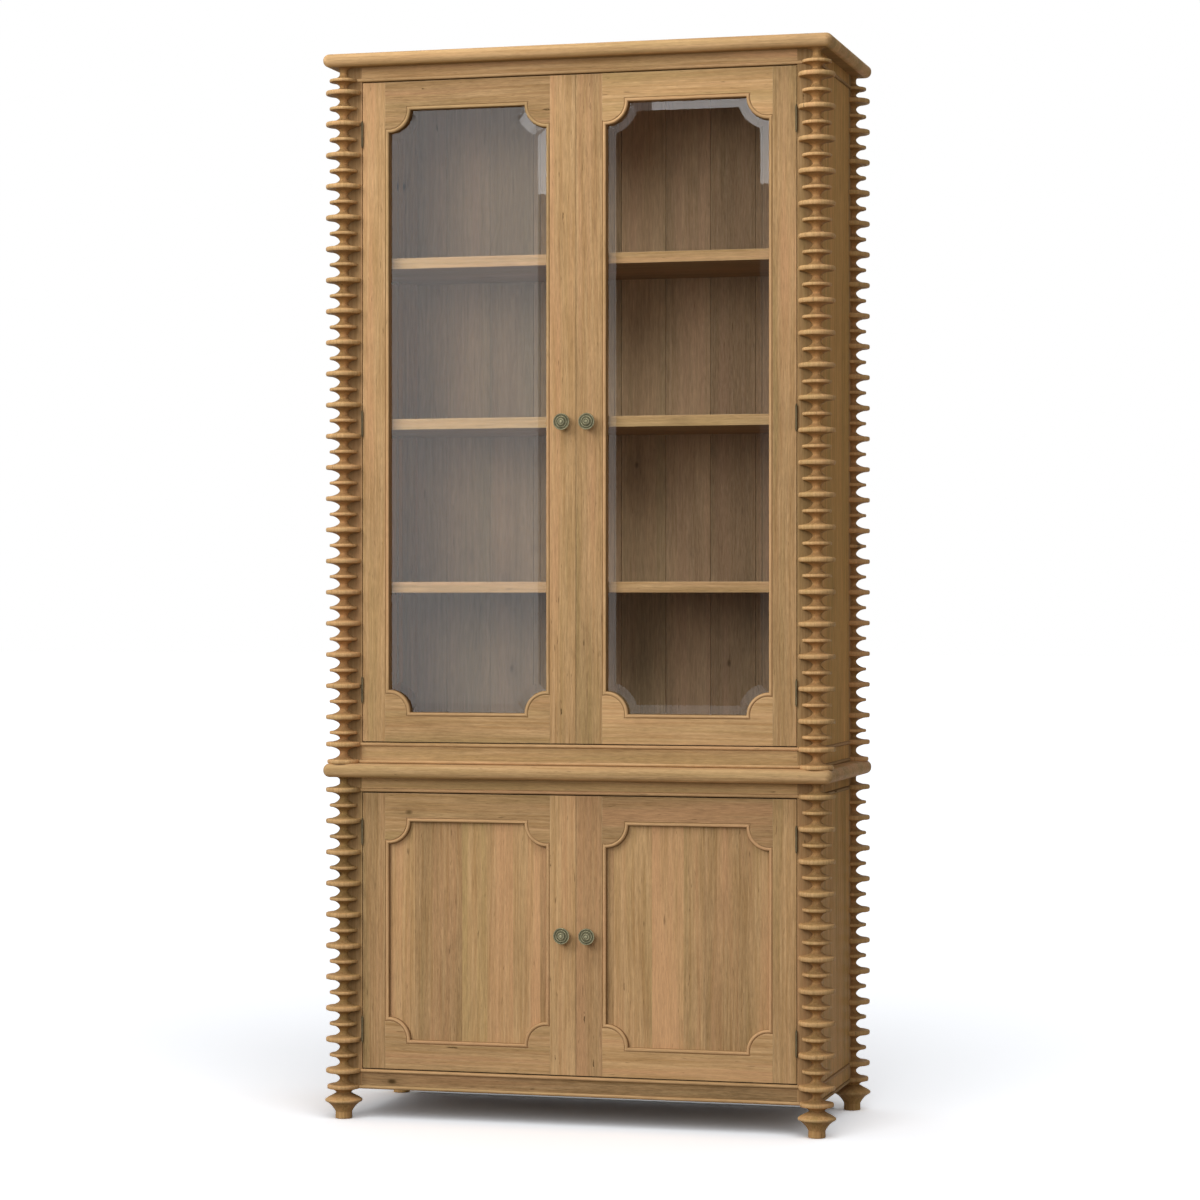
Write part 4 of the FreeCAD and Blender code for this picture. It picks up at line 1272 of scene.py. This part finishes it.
@dataclass
class Mouldings(Assembly):
    """Half-round beads on the front and sides, run up to the column discs."""

    height: float = 8.0
    stand: float = 4.0
    gap: float = 0.3
    steps: int = 12
    # Painted shade where a bead meets the face, and wear on its crown; the side beads carry more
    # painted shade.
    wear: Span = (-1.0, 1.4)
    side_painted_shade: float = 0.7
    nodes: tuple[tuple[str, tuple[tuple[float, Disc], ...]], ...] = (
        ("apron_beads", ((105.5, LARGE), (70.0, MIDDLE))),
        ("lower_frieze_bead", ((722.0, LARGE),)),
        ("base_beads", ((822.0, LARGE), (784.0, MIDDLE))),
        ("upper_frieze_bead", ((2279.0, SMALL),)))

    def build(self) -> None:
        """Make the beads of all four nodes."""
        for seed, (node, beads) in enumerate(self.nodes, 70):
            draft = Draft(node, seed)
            for height, disc in beads:
                self.bead(draft, height, disc.radius)
            install(draft, self.finishes.board)

    def bead(self, draft: Draft, height: float, radius: float) -> None:
        """Three lengths of bead at one height.

        Args:
            draft: The mesh that takes them.
            height: Height of the bead's middle.
            radius: Radius of the discs that it meets.
        """
        case = self.case
        turns = np.linspace(-QUARTER, QUARTER, self.steps + 1)
        out = self.stand * np.cos(turns)
        up = height + self.height / 2 * np.sin(turns)
        short = np.sqrt((radius + self.gap) ** 2 - out**2)
        # Painted shade at the bead's edges, wear on its crown.
        wear = np.tile(self.wear[1] * np.cos(turns) + self.wear[0], 2)
        front = [np.column_stack([side * (case.corner_x - short), -case.corner_y - out, up])
                 for side in (-1, 1)]
        draft.loops(front, wear, grain=Grain.LEVEL_FRONT)
        for flank in (-1, 1):
            ends = [np.column_stack([flank * (case.corner_x + out),
                                     side * (case.corner_y - short), up]) for side in (-1, 1)]
            # The side beads are darker: painted shade.
            draft.loops(ends, wear - self.side_painted_shade, grain=Grain.LEVEL_SIDE)


@dataclass
class Inside(Assembly):
    """Back boards, floors and shelves."""

    back: Span = (190.5, 200.5)
    board: float = 103.8
    housing: float = 5.5
    seam: float = 0.3
    groove: float = 1.5
    tongue: Span = (194.5, 196.5)
    tongue_reach: float = 4.0
    # Painted light and shade: behind the right pane, the board by the middle is lighter and the
    # boards to the right darker, evening out the light there.
    painted_light_board_tones: tuple[Span, ...] = ((0, 4.0), (2, -4.0), (3, -4.5))
    shelves: tuple[tuple[str, float], ...] = (
        ("upper_shelf_top", 1889.0), ("upper_shelf_middle", 1536.0),
        ("upper_shelf_bottom", 1178.0), ("lower_shelf", 424.0))
    shelf_front: float = -174.0
    thickness: float = 23.5
    # Painted shade: the underside of each shelf is darkened.
    underside_painted_shade: float = -0.8
    slack: float = 1.0

    def build(self) -> None:
        """Make the back boards and shelves, and dress the hidden nodes."""
        self.backs("lower", self.case.lower, 80)
        self.backs("upper", self.case.upper, 81)
        for seed, (node, top) in enumerate(self.shelves, 82):
            self.shelf(node, top, seed)
        for node in ("upper_floor", "lower_floor", "door_stops"):
            dress(node, self.finishes.level)
        for node in ("shelf_pins", "ball_catches"):
            dress(node, self.finishes.brass)

    def backs(self, level: str, span: Span, seed: int) -> None:
        """Upright boards with a vee and a loose tongue at every seam.

        Args:
            level: Which case.
            span: Their feet and their tops.
            seed: Start of their random draws.
        """
        count = int(self.case.inner_x // self.board)
        reach = self.case.inner_x + self.housing
        seams = [-reach] + [self.board * step for step in range(-count, count + 1)] + [reach]
        draft = Draft(f"{level}_back_boards", seed)
        for left, right in zip(seams, seams[1:]):
            draft.plate(rectangle((left + self.seam, right - self.seam), span), self.back,
                        Lie.FRONT, Grain.UPRIGHT_FRONT, self.groove)
            # Painted light and shade on some boards, evening out the light inside.
            draft.tint(dict(self.painted_light_board_tones).get(round(left / self.board), 0.0))
        for seam in seams[1:-1]:
            tongue = rectangle((seam - self.tongue_reach, seam + self.tongue_reach), span)
            draft.plate(tongue, self.tongue, Lie.FRONT, Grain.UPRIGHT_FRONT)
        install(draft, self.finishes.inside)

    def shelf(self, node: str, top: float, seed: int) -> None:
        """A shelf notched round the posts.

        Args:
            node: The node that it stands for.
            top: Height of its top.
            seed: Start of its random draws.
        """
        case = self.case
        wide = case.corner_x - case.side - self.slack
        narrow, step = case.inner_x - self.slack, case.inner_y - self.slack
        rear = self.back[0] - self.slack
        right = [(narrow, self.shelf_front), (narrow, -step), (wide, -step), (wide, step),
                 (narrow, step), (narrow, rear)]
        outline = np.array(right + [(-x, y) for x, y in reversed(right)])
        draft = Draft(node, seed)
        draft.plate(outline, (top - self.thickness, top), Lie.PLAN, Grain.LEVEL_TOP)
        # Painted shade on the shelf's underside.
        under = draft.points[-1][:, 2] / METRES < top - self.thickness + ARRIS / 2
        draft.looks[-1][under, 2] = self.underside_painted_shade
        install(draft, self.finishes.board)


@dataclass
class Opening:
    """The clear opening of a right-hand door, with quarter-round lobes in its corners."""

    left: float
    right: float
    low: float
    high: float
    scoop: float = 49.0
    steps: int = 20

    def lobe(self, x: float, z: float, turn: Span, offset: float) -> np.ndarray:
        """Points round one lobe.

        Args:
            x: The corner that it is struck from.
            z: The same, upward.
            turn: Signs of the way into the opening.
            offset: How far the line is moved outward.

        Returns:
            Points from the upright side to the level one.
        """
        radius = self.scoop - offset
        lead = math.asin(offset / radius)
        angles = np.linspace(QUARTER + lead, -lead, self.steps + 1)
        return np.column_stack([x + turn[0] * radius * np.cos(angles),
                                z + turn[1] * radius * np.sin(angles)])

    def outline(self, offset: float) -> np.ndarray:
        """The whole outline, counter-clockwise, moved outward by an offset."""
        return np.vstack([self.lobe(self.left, self.low, (1, 1), offset),
                          self.lobe(self.right, self.low, (-1, 1), offset)[::-1],
                          self.lobe(self.right, self.high, (-1, -1), offset),
                          self.lobe(self.left, self.high, (1, -1), offset)[::-1]])

    def ring(self, offset: float, depth: float) -> np.ndarray:
        """The moved outline stood at a depth."""
        return np.insert(self.outline(offset), 1, depth, axis=1)

    def rail(self, edge: float, offset: float) -> np.ndarray:
        """Outline of the rail between the opening and the door's edge.

        Args:
            edge: Height of the door's edge.
            offset: How far the opening is moved outward.

        Returns:
            The outline's points.
        """
        level, up = (self.low, 1) if edge < self.low else (self.high, -1)
        left = self.lobe(self.left, level, (1, up), offset)
        right = self.lobe(self.right, level, (-1, up), offset)[::-1]
        ends = np.array([(self.right + offset, edge), (self.left - offset, edge)])
        return np.vstack([left, right, ends])


class Filling(Enum):
    """What a door holds in its frame."""

    GLASS = "glass"
    PANEL = "panel"


@dataclass
class Door(Assembly):
    """One pair of doors: frame, bead, filling, knob and hinge leaves, and their left-hand twins.

    For each side, tones say how light the boards are: meeting stile, hinge stile, bottom rail and
    top rail. The darkest top rails are painted shade, cast by the board above them.
    """

    level: str
    span: Span
    knob_height: float
    hinges: tuple[float, ...]
    filled: Filling
    seed: int
    tones: dict[str, tuple[float, ...]]
    inner: float = 1.0
    outer: float = 485.0
    meeting_gap: float = 0.45
    thickness: float = 22.0
    meeting_stile: float = 66.0
    hinge_stile: float = 60.0
    top_rail: float = 62.0
    bottom_rail: float = 64.0
    knob_in: float = 28.0
    bead: float = 8.5
    filling: float = 9.0
    glass: float = 5.0
    glass_edge: float = 3.0
    glass_arris: float = 0.4
    bevel: float = 20.5
    panel: float = 8.0
    panel_tone: float = -2.2
    slack: float = 0.4
    keeper: float = 8.0
    keeper_in: float = 0.5
    keeper_gap: float = 1.0
    frame_arris: float = 0.3
    bead_line: Line = ((-0.5, 9.0), (-0.5, 4.0), (-0.1, 2.2), (0.7, 0.6), (1.9, -0.6), (3.4, -1.2),
                       (4.9, -1.1), (6.1, -0.5), (7.0, 0.4), (7.6, 1.1), (8.2, 1.2), (8.5, 0.5),
                       (8.5, 9.0))
    # Painted shade in the quirk and down the bead's sides; wear on its crown.
    bead_wear_and_shade: tuple[float, ...] = (-1.0, -1.0, -0.8, -0.2, 0.3, 0.5, 0.4, 0.1, -0.4, -0.6, -0.6,
                                    -0.4, -0.8)

    @property
    def front(self) -> float:
        """The front face of the frame."""
        return -self.case.corner_y

    @property
    def opening(self) -> Opening:
        """The opening of the right-hand door."""
        return Opening(self.inner + self.meeting_stile, self.outer - self.hinge_stile,
                       self.span[0] + self.bottom_rail, self.span[1] - self.top_rail)

    def build(self) -> None:
        """Make both doors."""
        knob, leaves = Draft("knob", self.seed + 3), Draft("leaves", self.seed + 4)
        Knob().add_to(knob, (self.knob_in, self.front, self.knob_height), self.thickness)
        for height in self.hinges:
            Hinge(self.case, height).door_leaf(leaves)
        if self.filled is Filling.GLASS:
            filling = (self.filled.value, self.pane(), self.finishes.glass, "glass")
        else:
            filling = (self.filled.value, self.staved_panel(), self.finishes.panel, "case_wood")
        made = (("frame", self.frame(), self.finishes.board, "case_wood"),
                ("beads", self.beads(), self.finishes.board, "case_wood"), filling,
                ("knob", knob, self.finishes.knob, "knob_bronze"),
                ("hinge_leaves", leaves, self.finishes.hinge, "hinge_bronze"))
        for step, (part, draft, material, slot) in enumerate(made):
            for side, flip in (("right", 1), ("left", -1)):
                body = f"{self.level}_{side}_door"
                twin = draft.mirrored((float(flip), 1.0, 1.0), f"{body}_{part}",
                                      self.seed * 10 + step * 2 + flip)
                if part == "frame":
                    for looks, tone in zip(twin.looks, self.tones[side]):
                        looks[:, 0] = tone
                if part == Filling.PANEL.value:
                    twin.tint(self.panel_tone)
                install(twin, material, body, flat=part == Filling.GLASS.value)

    def frame(self) -> Draft:
        """Two stiles and two scooped rails."""
        opening, draft = self.opening, Draft("frame", self.seed)
        depth = (self.front, self.front + self.thickness)
        for across in ((self.meeting_gap, opening.left - self.bead),
                       (opening.right + self.bead, self.outer)):
            draft.plate(rectangle(across, self.span), depth, Lie.FRONT, Grain.UPRIGHT_FRONT,
                        self.frame_arris)
        for edge in self.span:
            draft.plate(opening.rail(edge, self.bead), depth, Lie.FRONT, Grain.LEVEL_FRONT,
                        self.frame_arris)
        return draft

    def beads(self) -> Draft:
        """The bead round the opening, and the strips behind that hold the filling."""
        opening, draft = self.opening, Draft("beads", self.seed + 1)
        rings, runs = [], []
        for across, depth in self.bead_line:
            ring = opening.ring(across, self.front + depth)
            rings.append(ring)
            ahead = np.diff(ring[:, [0, 2]], axis=0, prepend=ring[-1:, [0, 2]])
            along = np.cumsum(np.linalg.norm(ahead, axis=1))
            runs.append(np.insert([(across, depth)] * len(ring), 2, along, axis=1))
        draft.loops(rings, np.array(self.bead_wear_and_shade), np.vstack(runs), joined=True)
        thick = self.glass if self.filled is Filling.GLASS else self.panel
        depth = (self.front + self.filling + thick, self.front + self.thickness - self.keeper_in)
        reach = math.sqrt((opening.scoop - self.bead) ** 2 - self.bead**2) + self.keeper_gap
        across = (opening.left + reach, opening.right - reach)
        up = (opening.low + reach, opening.high - reach)
        for low in (opening.low - self.bead, opening.high + self.bead - self.keeper):
            draft.plate(rectangle(across, (low, low + self.keeper)), depth, Lie.FRONT,
                        Grain.LEVEL_FRONT, self.frame_arris)
        for left in (opening.left - self.bead, opening.right + self.bead - self.keeper):
            draft.plate(rectangle((left, left + self.keeper), up), depth, Lie.FRONT,
                        Grain.UPRIGHT_FRONT, self.frame_arris)
        return draft

    def pane(self) -> Draft:
        """A pane that follows the scooped outline, ground to a bevel on its front."""
        draft = Draft("glass", self.seed + 2)
        edge, face = self.bead - self.slack, self.front + self.filling
        rim, back, ease = face + self.glass - self.glass_edge, face + self.glass, self.glass_arris
        lines = ((-self.bevel, face), (edge - ease, rim), (edge, rim + ease), (edge, back - ease),
                 (edge - ease, back))
        draft.loops([self.opening.ring(offset, depth) for offset, depth in lines],
                    np.zeros(len(lines)))
        return draft

    def staved_panel(self) -> Draft:
        """A flat panel glued from upright staves."""
        draft = Draft("panel", self.seed + 2)
        depth = (self.front + self.filling, self.front + self.filling + self.panel)
        draft.plate(self.opening.outline(self.bead - self.slack), depth, Lie.FRONT,
                    Grain.UPRIGHT_FRONT)
        return draft


@dataclass
class Knob:
    """A turned bronze knob with a raised rim and a low dome, and its bolt."""

    back: Line = ((9.6, 0.0), (10.2, 0.7), (9.9, 1.6), (8.4, 2.2), (6.5, 3.2), (5.6, 5.6),
                  (5.9, 8.4), (7.6, 11.0), (11.0, 13.4), (14.8, 15.0), (17.2, 16.2))
    rim: Line = ((17.2, 16.2), (18.0, 17.4), (17.9, 18.6), (17.0, 19.5), (15.9, 19.4),
                 (15.1, 18.4), (14.4, 17.9), (13.6, 18.1), (13.0, 18.9))
    dome: Line = ((13.0, 18.9), (12.4, 19.9), (11.5, 20.3), (10.6, 19.8), (9.8, 19.4), (9.0, 19.9),
                  (8.2, 21.4), (6.9, 22.9), (5.8, 23.4), (4.9, 23.0), (4.1, 23.1), (3.0, 24.4),
                  (1.5, 24.9), (0.4, 25.0))
    bolt: Line = ((4.0, -2.2), (4.5, -1.7), (4.5, -0.3), (4.3, 0.0))
    back_wear: float = -0.3
    rim_wear: Span = (0.9, -1.9)
    dome_wear: Line = ((0.4, 0.5), (3.0, 0.3), (4.6, -0.9), (6.2, 0.4), (9.8, -1.0), (11.6, 0.5),
                       (13.0, -0.9))
    line_steps: int = 4
    round_steps: int = 64
    bolt_steps: int = 32

    def add_to(self, draft: Draft, place: Spot, thickness: float) -> None:
        """Turn the knob and the head of its bolt.

        Args:
            draft: The mesh that takes them.
            place: Where the knob stands on the door's face.
            thickness: Thickness of the door.
        """
        back, rim, dome = (flowing(line, self.line_steps)
                           for line in (self.back, self.rim, self.dome))
        start, fall = self.rim_wear
        wear = np.concatenate([np.full(len(back) - 1, self.back_wear),
                               start + fall * np.linspace(0.0, 1.0, len(rim) - 1),
                               np.interp(dome[:, 0], *zip(*self.dome_wear))])
        draft.turning(np.vstack([back[:-1], rim[:-1], dome]), wear, place, self.round_steps,
                      outward=True)
        draft.turning(np.array(self.bolt), np.zeros(len(self.bolt)),
                      (place[0], place[1] + thickness, place[2]), self.bolt_steps, outward=True)


@dataclass
class Hinge:
    """One butt hinge: knuckles round a pin, and a leaf on each side of the gap."""

    case: Case
    height: float
    length: float = 50.0
    pin_x: float = 485.4
    pin_y: float = -205.7
    knuckle: float = 2.4
    knuckle_ease: float = 0.35
    knuckle_wear: tuple[float, ...] = (-0.8, 0.6, 0.6, -0.8)
    knuckle_steps: int = 32
    gap: float = 0.2
    leaf: float = 1.2
    leaf_gap: float = 2.6
    leaf_arris: float = 0.15
    sunk: float = 0.1
    depth: float = 18.0
    share: float = 0.33
    pin_line: Line = ((0.5, -29.5), (1.3, -29.0), (1.8, -27.9), (1.6, -26.9), (1.5, -26.4),
                      (2.0, -25.8), (2.2, -25.0), (2.2, 25.0), (2.0, 25.8), (1.5, 26.4),
                      (1.6, 26.9), (1.8, 27.9), (1.3, 29.0), (0.5, 29.5))
    pin_wear: float = 0.4
    pin_steps: int = 24

    def spans(self) -> tuple[Span, Span, Span]:
        """The low, middle and high knuckle, as heights about the middle."""
        half, third = self.length / 2, self.length * self.share
        low, high = -half + third, half - third
        return (-half, low), (low + self.gap, high - self.gap), (high, half)

    def barrel(self, draft: Draft, span: Span) -> None:
        """A knuckle with eased ends.

        Args:
            draft: The mesh that takes it.
            span: Its heights about the middle of the hinge.
        """
        radius, ease = self.knuckle, self.knuckle_ease
        low, high = span[0] + self.height, span[1] + self.height
        profile = np.array([(radius - ease, low), (radius, low + ease), (radius, high - ease),
                            (radius - ease, high)])
        draft.turning(profile, np.array(self.knuckle_wear), (self.pin_x, self.pin_y, 0.0),
                      self.knuckle_steps)

    def flap(self, draft: Draft, across: Span, spans: tuple[Span, ...]) -> None:
        """A leaf beside the gap, cut clear of the other leaf's knuckles.

        Args:
            draft: The mesh that takes it.
            across: Its two faces.
            spans: Heights of its own knuckles about the middle of the hinge.
        """
        half, front = self.length / 2, -self.case.corner_y
        plates = [rectangle((front + self.sunk, front + self.depth),
                            (self.height - half, self.height + half))]
        plates += [rectangle((self.pin_y + self.knuckle / 2, front + self.sunk),
                             (self.height + low, self.height + high)) for low, high in spans]
        for plate in plates:
            draft.plate(plate, across, Lie.SIDE, Grain.UPRIGHT_SIDE, self.leaf_arris)

    def case_leaf(self, draft: Draft) -> None:
        """The leaf on the post, with two knuckles.

        Args:
            draft: The mesh that takes it.
        """
        low, _, high = self.spans()
        self.barrel(draft, low)
        self.barrel(draft, high)
        self.flap(draft, (self.case.inner_x - self.leaf, self.case.inner_x), (low, high))

    def door_leaf(self, draft: Draft) -> None:
        """The leaf on the door, with one knuckle.

        Args:
            draft: The mesh that takes it.
        """
        middle = self.spans()[1]
        self.barrel(draft, middle)
        outer = self.case.inner_x - self.leaf_gap
        self.flap(draft, (outer, outer + self.leaf), (middle,))

    def pin(self, draft: Draft) -> None:
        """The turned tips that show above and below the knuckles.

        Args:
            draft: The mesh that takes them.
        """
        for tip in np.split(np.array(self.pin_line), 2):
            draft.turning(tip, np.full(len(tip), self.pin_wear),
                          (self.pin_x, self.pin_y, self.height), self.pin_steps)


@dataclass
class FixedHinges(Assembly):
    """The leaves and pins that stay on the case."""

    heights: tuple[float, ...]

    def build(self) -> None:
        """Make both nodes, right and left."""
        for node, part, seed in (("case_hinge_leaves", Hinge.case_leaf, 95),
                                 ("hinge_pins", Hinge.pin, 96)):
            right = Draft(node, seed)
            for height in self.heights:
                part(Hinge(self.case, height), right)
            right.take(right.mirrored((-1.0, 1.0, 1.0), node, seed + 5))
            install(right, self.finishes.hinge)


class Duty(Enum):
    """What a studio card is for."""

    MIRRORED = "shows in glass and metal"
    SHADING = "keeps light off"


@dataclass(frozen=True)
class Card:
    """A studio card: its two ends on the plan, its height, how bright it is and its duty."""

    name: str
    start: Span
    end: Span
    up: Span
    glow: float
    duty: Duty = Duty.MIRRORED


@dataclass(frozen=True)
class Lamp:
    """A soft round lamp: where it hangs, its size and its power."""

    place: Spot
    size: float
    power: float


@dataclass
class Studio:
    """A pale floor, plain light, and the camera where the photograph was taken from."""

    camera_place: Spot = (1.909, -7.176, 1.1385)
    camera_way: Spot = (-0.257, 0.966, 0.0)
    lens: float = 100.5
    sensor: float = 36.0
    world_light: float = 0.40
    white: Colour = (1.0, 1.0, 1.0, 1.0)
    floor_reach: float = 60.0
    floor_seen: Colour = (1.565, 1.60, 1.655, 1.0)
    floor_true: Colour = (0.345, 0.31, 0.26, 1.0)
    floor_lamp: Spot = (1.9, -7.2, 6.2)
    floor_light: float = 1.5
    floor_softness: float = 70.0
    aim: Spot = (0.0, 0.0, 1.3)
    lamps: tuple[Lamp, ...] = (Lamp((-3.4, -4.3, 4.2), 2.8, 170.0),
                               Lamp((-0.6, -7.4, 2.8), 3.4, 145.0),
                               Lamp((-0.9, -2.3, 6.0), 2.4, 120.0))
    cards: tuple[Card, ...] = (
        Card("dark_flag_middle", (-3.23, -12.0), (-1.85, -12.0), (-1.5, 4.6), 0.05),
        Card("dark_flag_right", (-1.85, -12.0), (-1.0, -12.0), (-1.5, 3.461), 0.05),
        Card("dark_flag_far_right", (-1.0, -12.0), (1.6, -12.0), (-1.5, 3.495), 0.36),
        Card("bright_card", (-2.90, -12.1), (1.6, -12.1), (3.40, 8.5), 4.9),
        Card("pale_card", (-6.5, -12.1), (-3.26, -12.1), (-1.5, 8.5), 1.5),
        Card("dark_flag_side", (1.2, 7.0), (9.0, 2.0), (-1.5, 6.0), 0.04),
        Card("dark_flag_under", (-0.49, 0.212), (0.49, 0.212), (0.001, 0.065), 0.0, Duty.SHADING))

    def build(self) -> None:
        """Set up everything round the cabinet."""
        unlit = bpy.data.collections.new("unlit_by_lamps")
        lit = bpy.data.collections.new("lit_by_floor_lamp")
        floor = self.floor()
        for held in (unlit, lit):
            held.objects.link(floor)
        unlit.collection_objects[0].light_linking.link_state = "EXCLUDE"
        self.world()
        for number, lamp in enumerate(self.lamps, 1):
            data = bpy.data.lights.new(f"soft_lamp_{number}", "AREA")
            data.shape, data.size, data.energy = "DISK", lamp.size, lamp.power
            self.hang(data, lamp.place, Vector(self.aim), unlit)
        data = bpy.data.lights.new("floor_lamp", "SUN")
        data.energy, data.angle = self.floor_light, math.radians(self.floor_softness)
        self.hang(data, self.floor_lamp, Vector(), lit)
        for card in self.cards:
            self.card(card)
        data = bpy.data.cameras.new("photograph_camera")
        data.lens, data.sensor_width = self.lens, self.sensor
        camera = self.aimed(data, self.camera_place, Vector(self.camera_way))
        bpy.context.scene.camera = camera
        bpy.context.scene.view_settings.view_transform = "Standard"

    def aimed(self, data: bpy.types.ID, place: Spot, way: Vector) -> bpy.types.Object:
        """Put up a lamp or a camera.

        Args:
            data: The lamp or camera.
            place: Where it is.
            way: The direction that it looks in.

        Returns:
            The object.
        """
        made = stand(data)
        made.location = place
        made.rotation_mode = "QUATERNION"
        made.rotation_quaternion = way.to_track_quat("-Z", "Y")
        return made

    def hang(self, data: bpy.types.Light, place: Spot, aim: Vector,
             lights: bpy.types.Collection) -> None:
        """Hang a lamp that no mirror or camera sees.

        Args:
            data: The lamp.
            place: Where it hangs.
            aim: The point that it is turned to.
            lights: What it lights, or passes by.
        """
        lamp = self.aimed(data, place, aim - Vector(place))
        lamp.visible_glossy = lamp.visible_transmission = lamp.visible_camera = False
        lamp.light_linking.receiver_collection = lights

    def sheet(self, name: str, corners: list[Spot], material: bpy.types.Material) -> (
            bpy.types.Object):
        """A flat sheet that isn't part of the cabinet.

        Args:
            name: Its name.
            corners: Its four corners.
            material: Its finish.

        Returns:
            The sheet.
        """
        mesh = bpy.data.meshes.new(name)
        mesh.from_pydata(corners, [], [(0, 1, 2, 3)])
        mesh.materials.append(material)
        made = stand(mesh)
        return made

    def floor(self) -> bpy.types.Object:
        """A wide floor that looks white and keeps the cabinet's soft shadow."""
        finish, bench, nodes = new_material("pale_floor")
        colour = bench.blend(self.watched(bench), self.floor_true, self.floor_seen)
        matt = bench.put("BsdfDiffuse", {"Color": colour}).outputs[0]
        bench.feed(nodes["Material Output"], {"Surface": matt})
        reach = self.floor_reach
        corners = [(-reach, -reach, 0.0), (reach, -reach, 0.0), (reach, reach, 0.0),
                   (-reach, reach, 0.0)]
        return self.sheet("pale_floor", corners, finish)

    def watched(self, bench: Bench) -> bpy.types.NodeSocket:
        """1 for a ray that the camera, a mirror or glass sends.

        Args:
            bench: The bench of the material or the world.

        Returns:
            The mask.
        """
        path = bench.put("LightPath").outputs
        seen = bench.sum("MAXIMUM", path["Is Camera Ray"], path["Is Glossy Ray"])
        return bench.sum("MAXIMUM", seen, path["Is Transmission Ray"])

    def world(self) -> None:
        """White to camera, mirror and glass, and a plain level of light to the rest."""
        world = bpy.data.worlds.new("studio")
        bpy.context.scene.world = world
        world.use_nodes = True
        bench = Bench(world.node_tree)
        strength = bench.scaled(self.watched(bench), (UNIT, (self.world_light, 1.0)))
        bench.feed(world.node_tree.nodes["Background"],
                   {"Color": self.white, "Strength": strength})

    def card(self, card: Card) -> None:
        """Stand a card that the camera doesn't see.

        Args:
            card: The card.
        """
        finish, bench, nodes = new_material(card.name)
        glow = bench.put("Emission", {"Strength": card.glow}).outputs[0]
        bench.feed(nodes["Material Output"], {"Surface": glow})
        low, high = card.up
        corners = [(*card.start, low), (*card.end, low), (*card.end, high), (*card.start, high)]
        made = self.sheet(card.name, corners, finish)
        made.visible_camera = False
        made.visible_diffuse = made.visible_shadow = card.duty is Duty.SHADING
        made.visible_glossy = made.visible_transmission = card.duty is Duty.MIRRORED


def main() -> None:
    """Build the cabinet's looks and its studio."""
    logging.basicConfig(level=logging.INFO, format="%(name)s: %(message)s")
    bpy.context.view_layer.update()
    case = Case()
    finishes = Finishes()
    upper_hinges, lower_hinges = (941.4, 1525.5, 2159.6), (196.9, 630.6)
    for part in (Columns, Feet, Carcase, Mouldings, Inside):
        part(case, finishes).build()
    # The darkest top rails in the tones are painted shade from the board above.
    Door(case, finishes, "upper", span=(828.4, 2272.6), knob_height=1523.0,
         hinges=upper_hinges, filled=Filling.GLASS, seed=101,
         tones={"right": (-4.8, -4.8, 1.7, 1.9), "left": (-2.2, -0.8, -2.8, -7.2)}).build()
    Door(case, finishes, "lower", span=(111.9, 715.6), knob_height=414.0,
         hinges=lower_hinges, filled=Filling.PANEL, seed=131,
         tones={"right": (-5.5, -2.5, 2.2, -7.8), "left": (1.0, -5.5, -1.8, -3.0)}).build()
    FixedHinges(case, finishes, upper_hinges + lower_hinges).build()
    Studio().build()


if __name__ == "__main__":
    main()
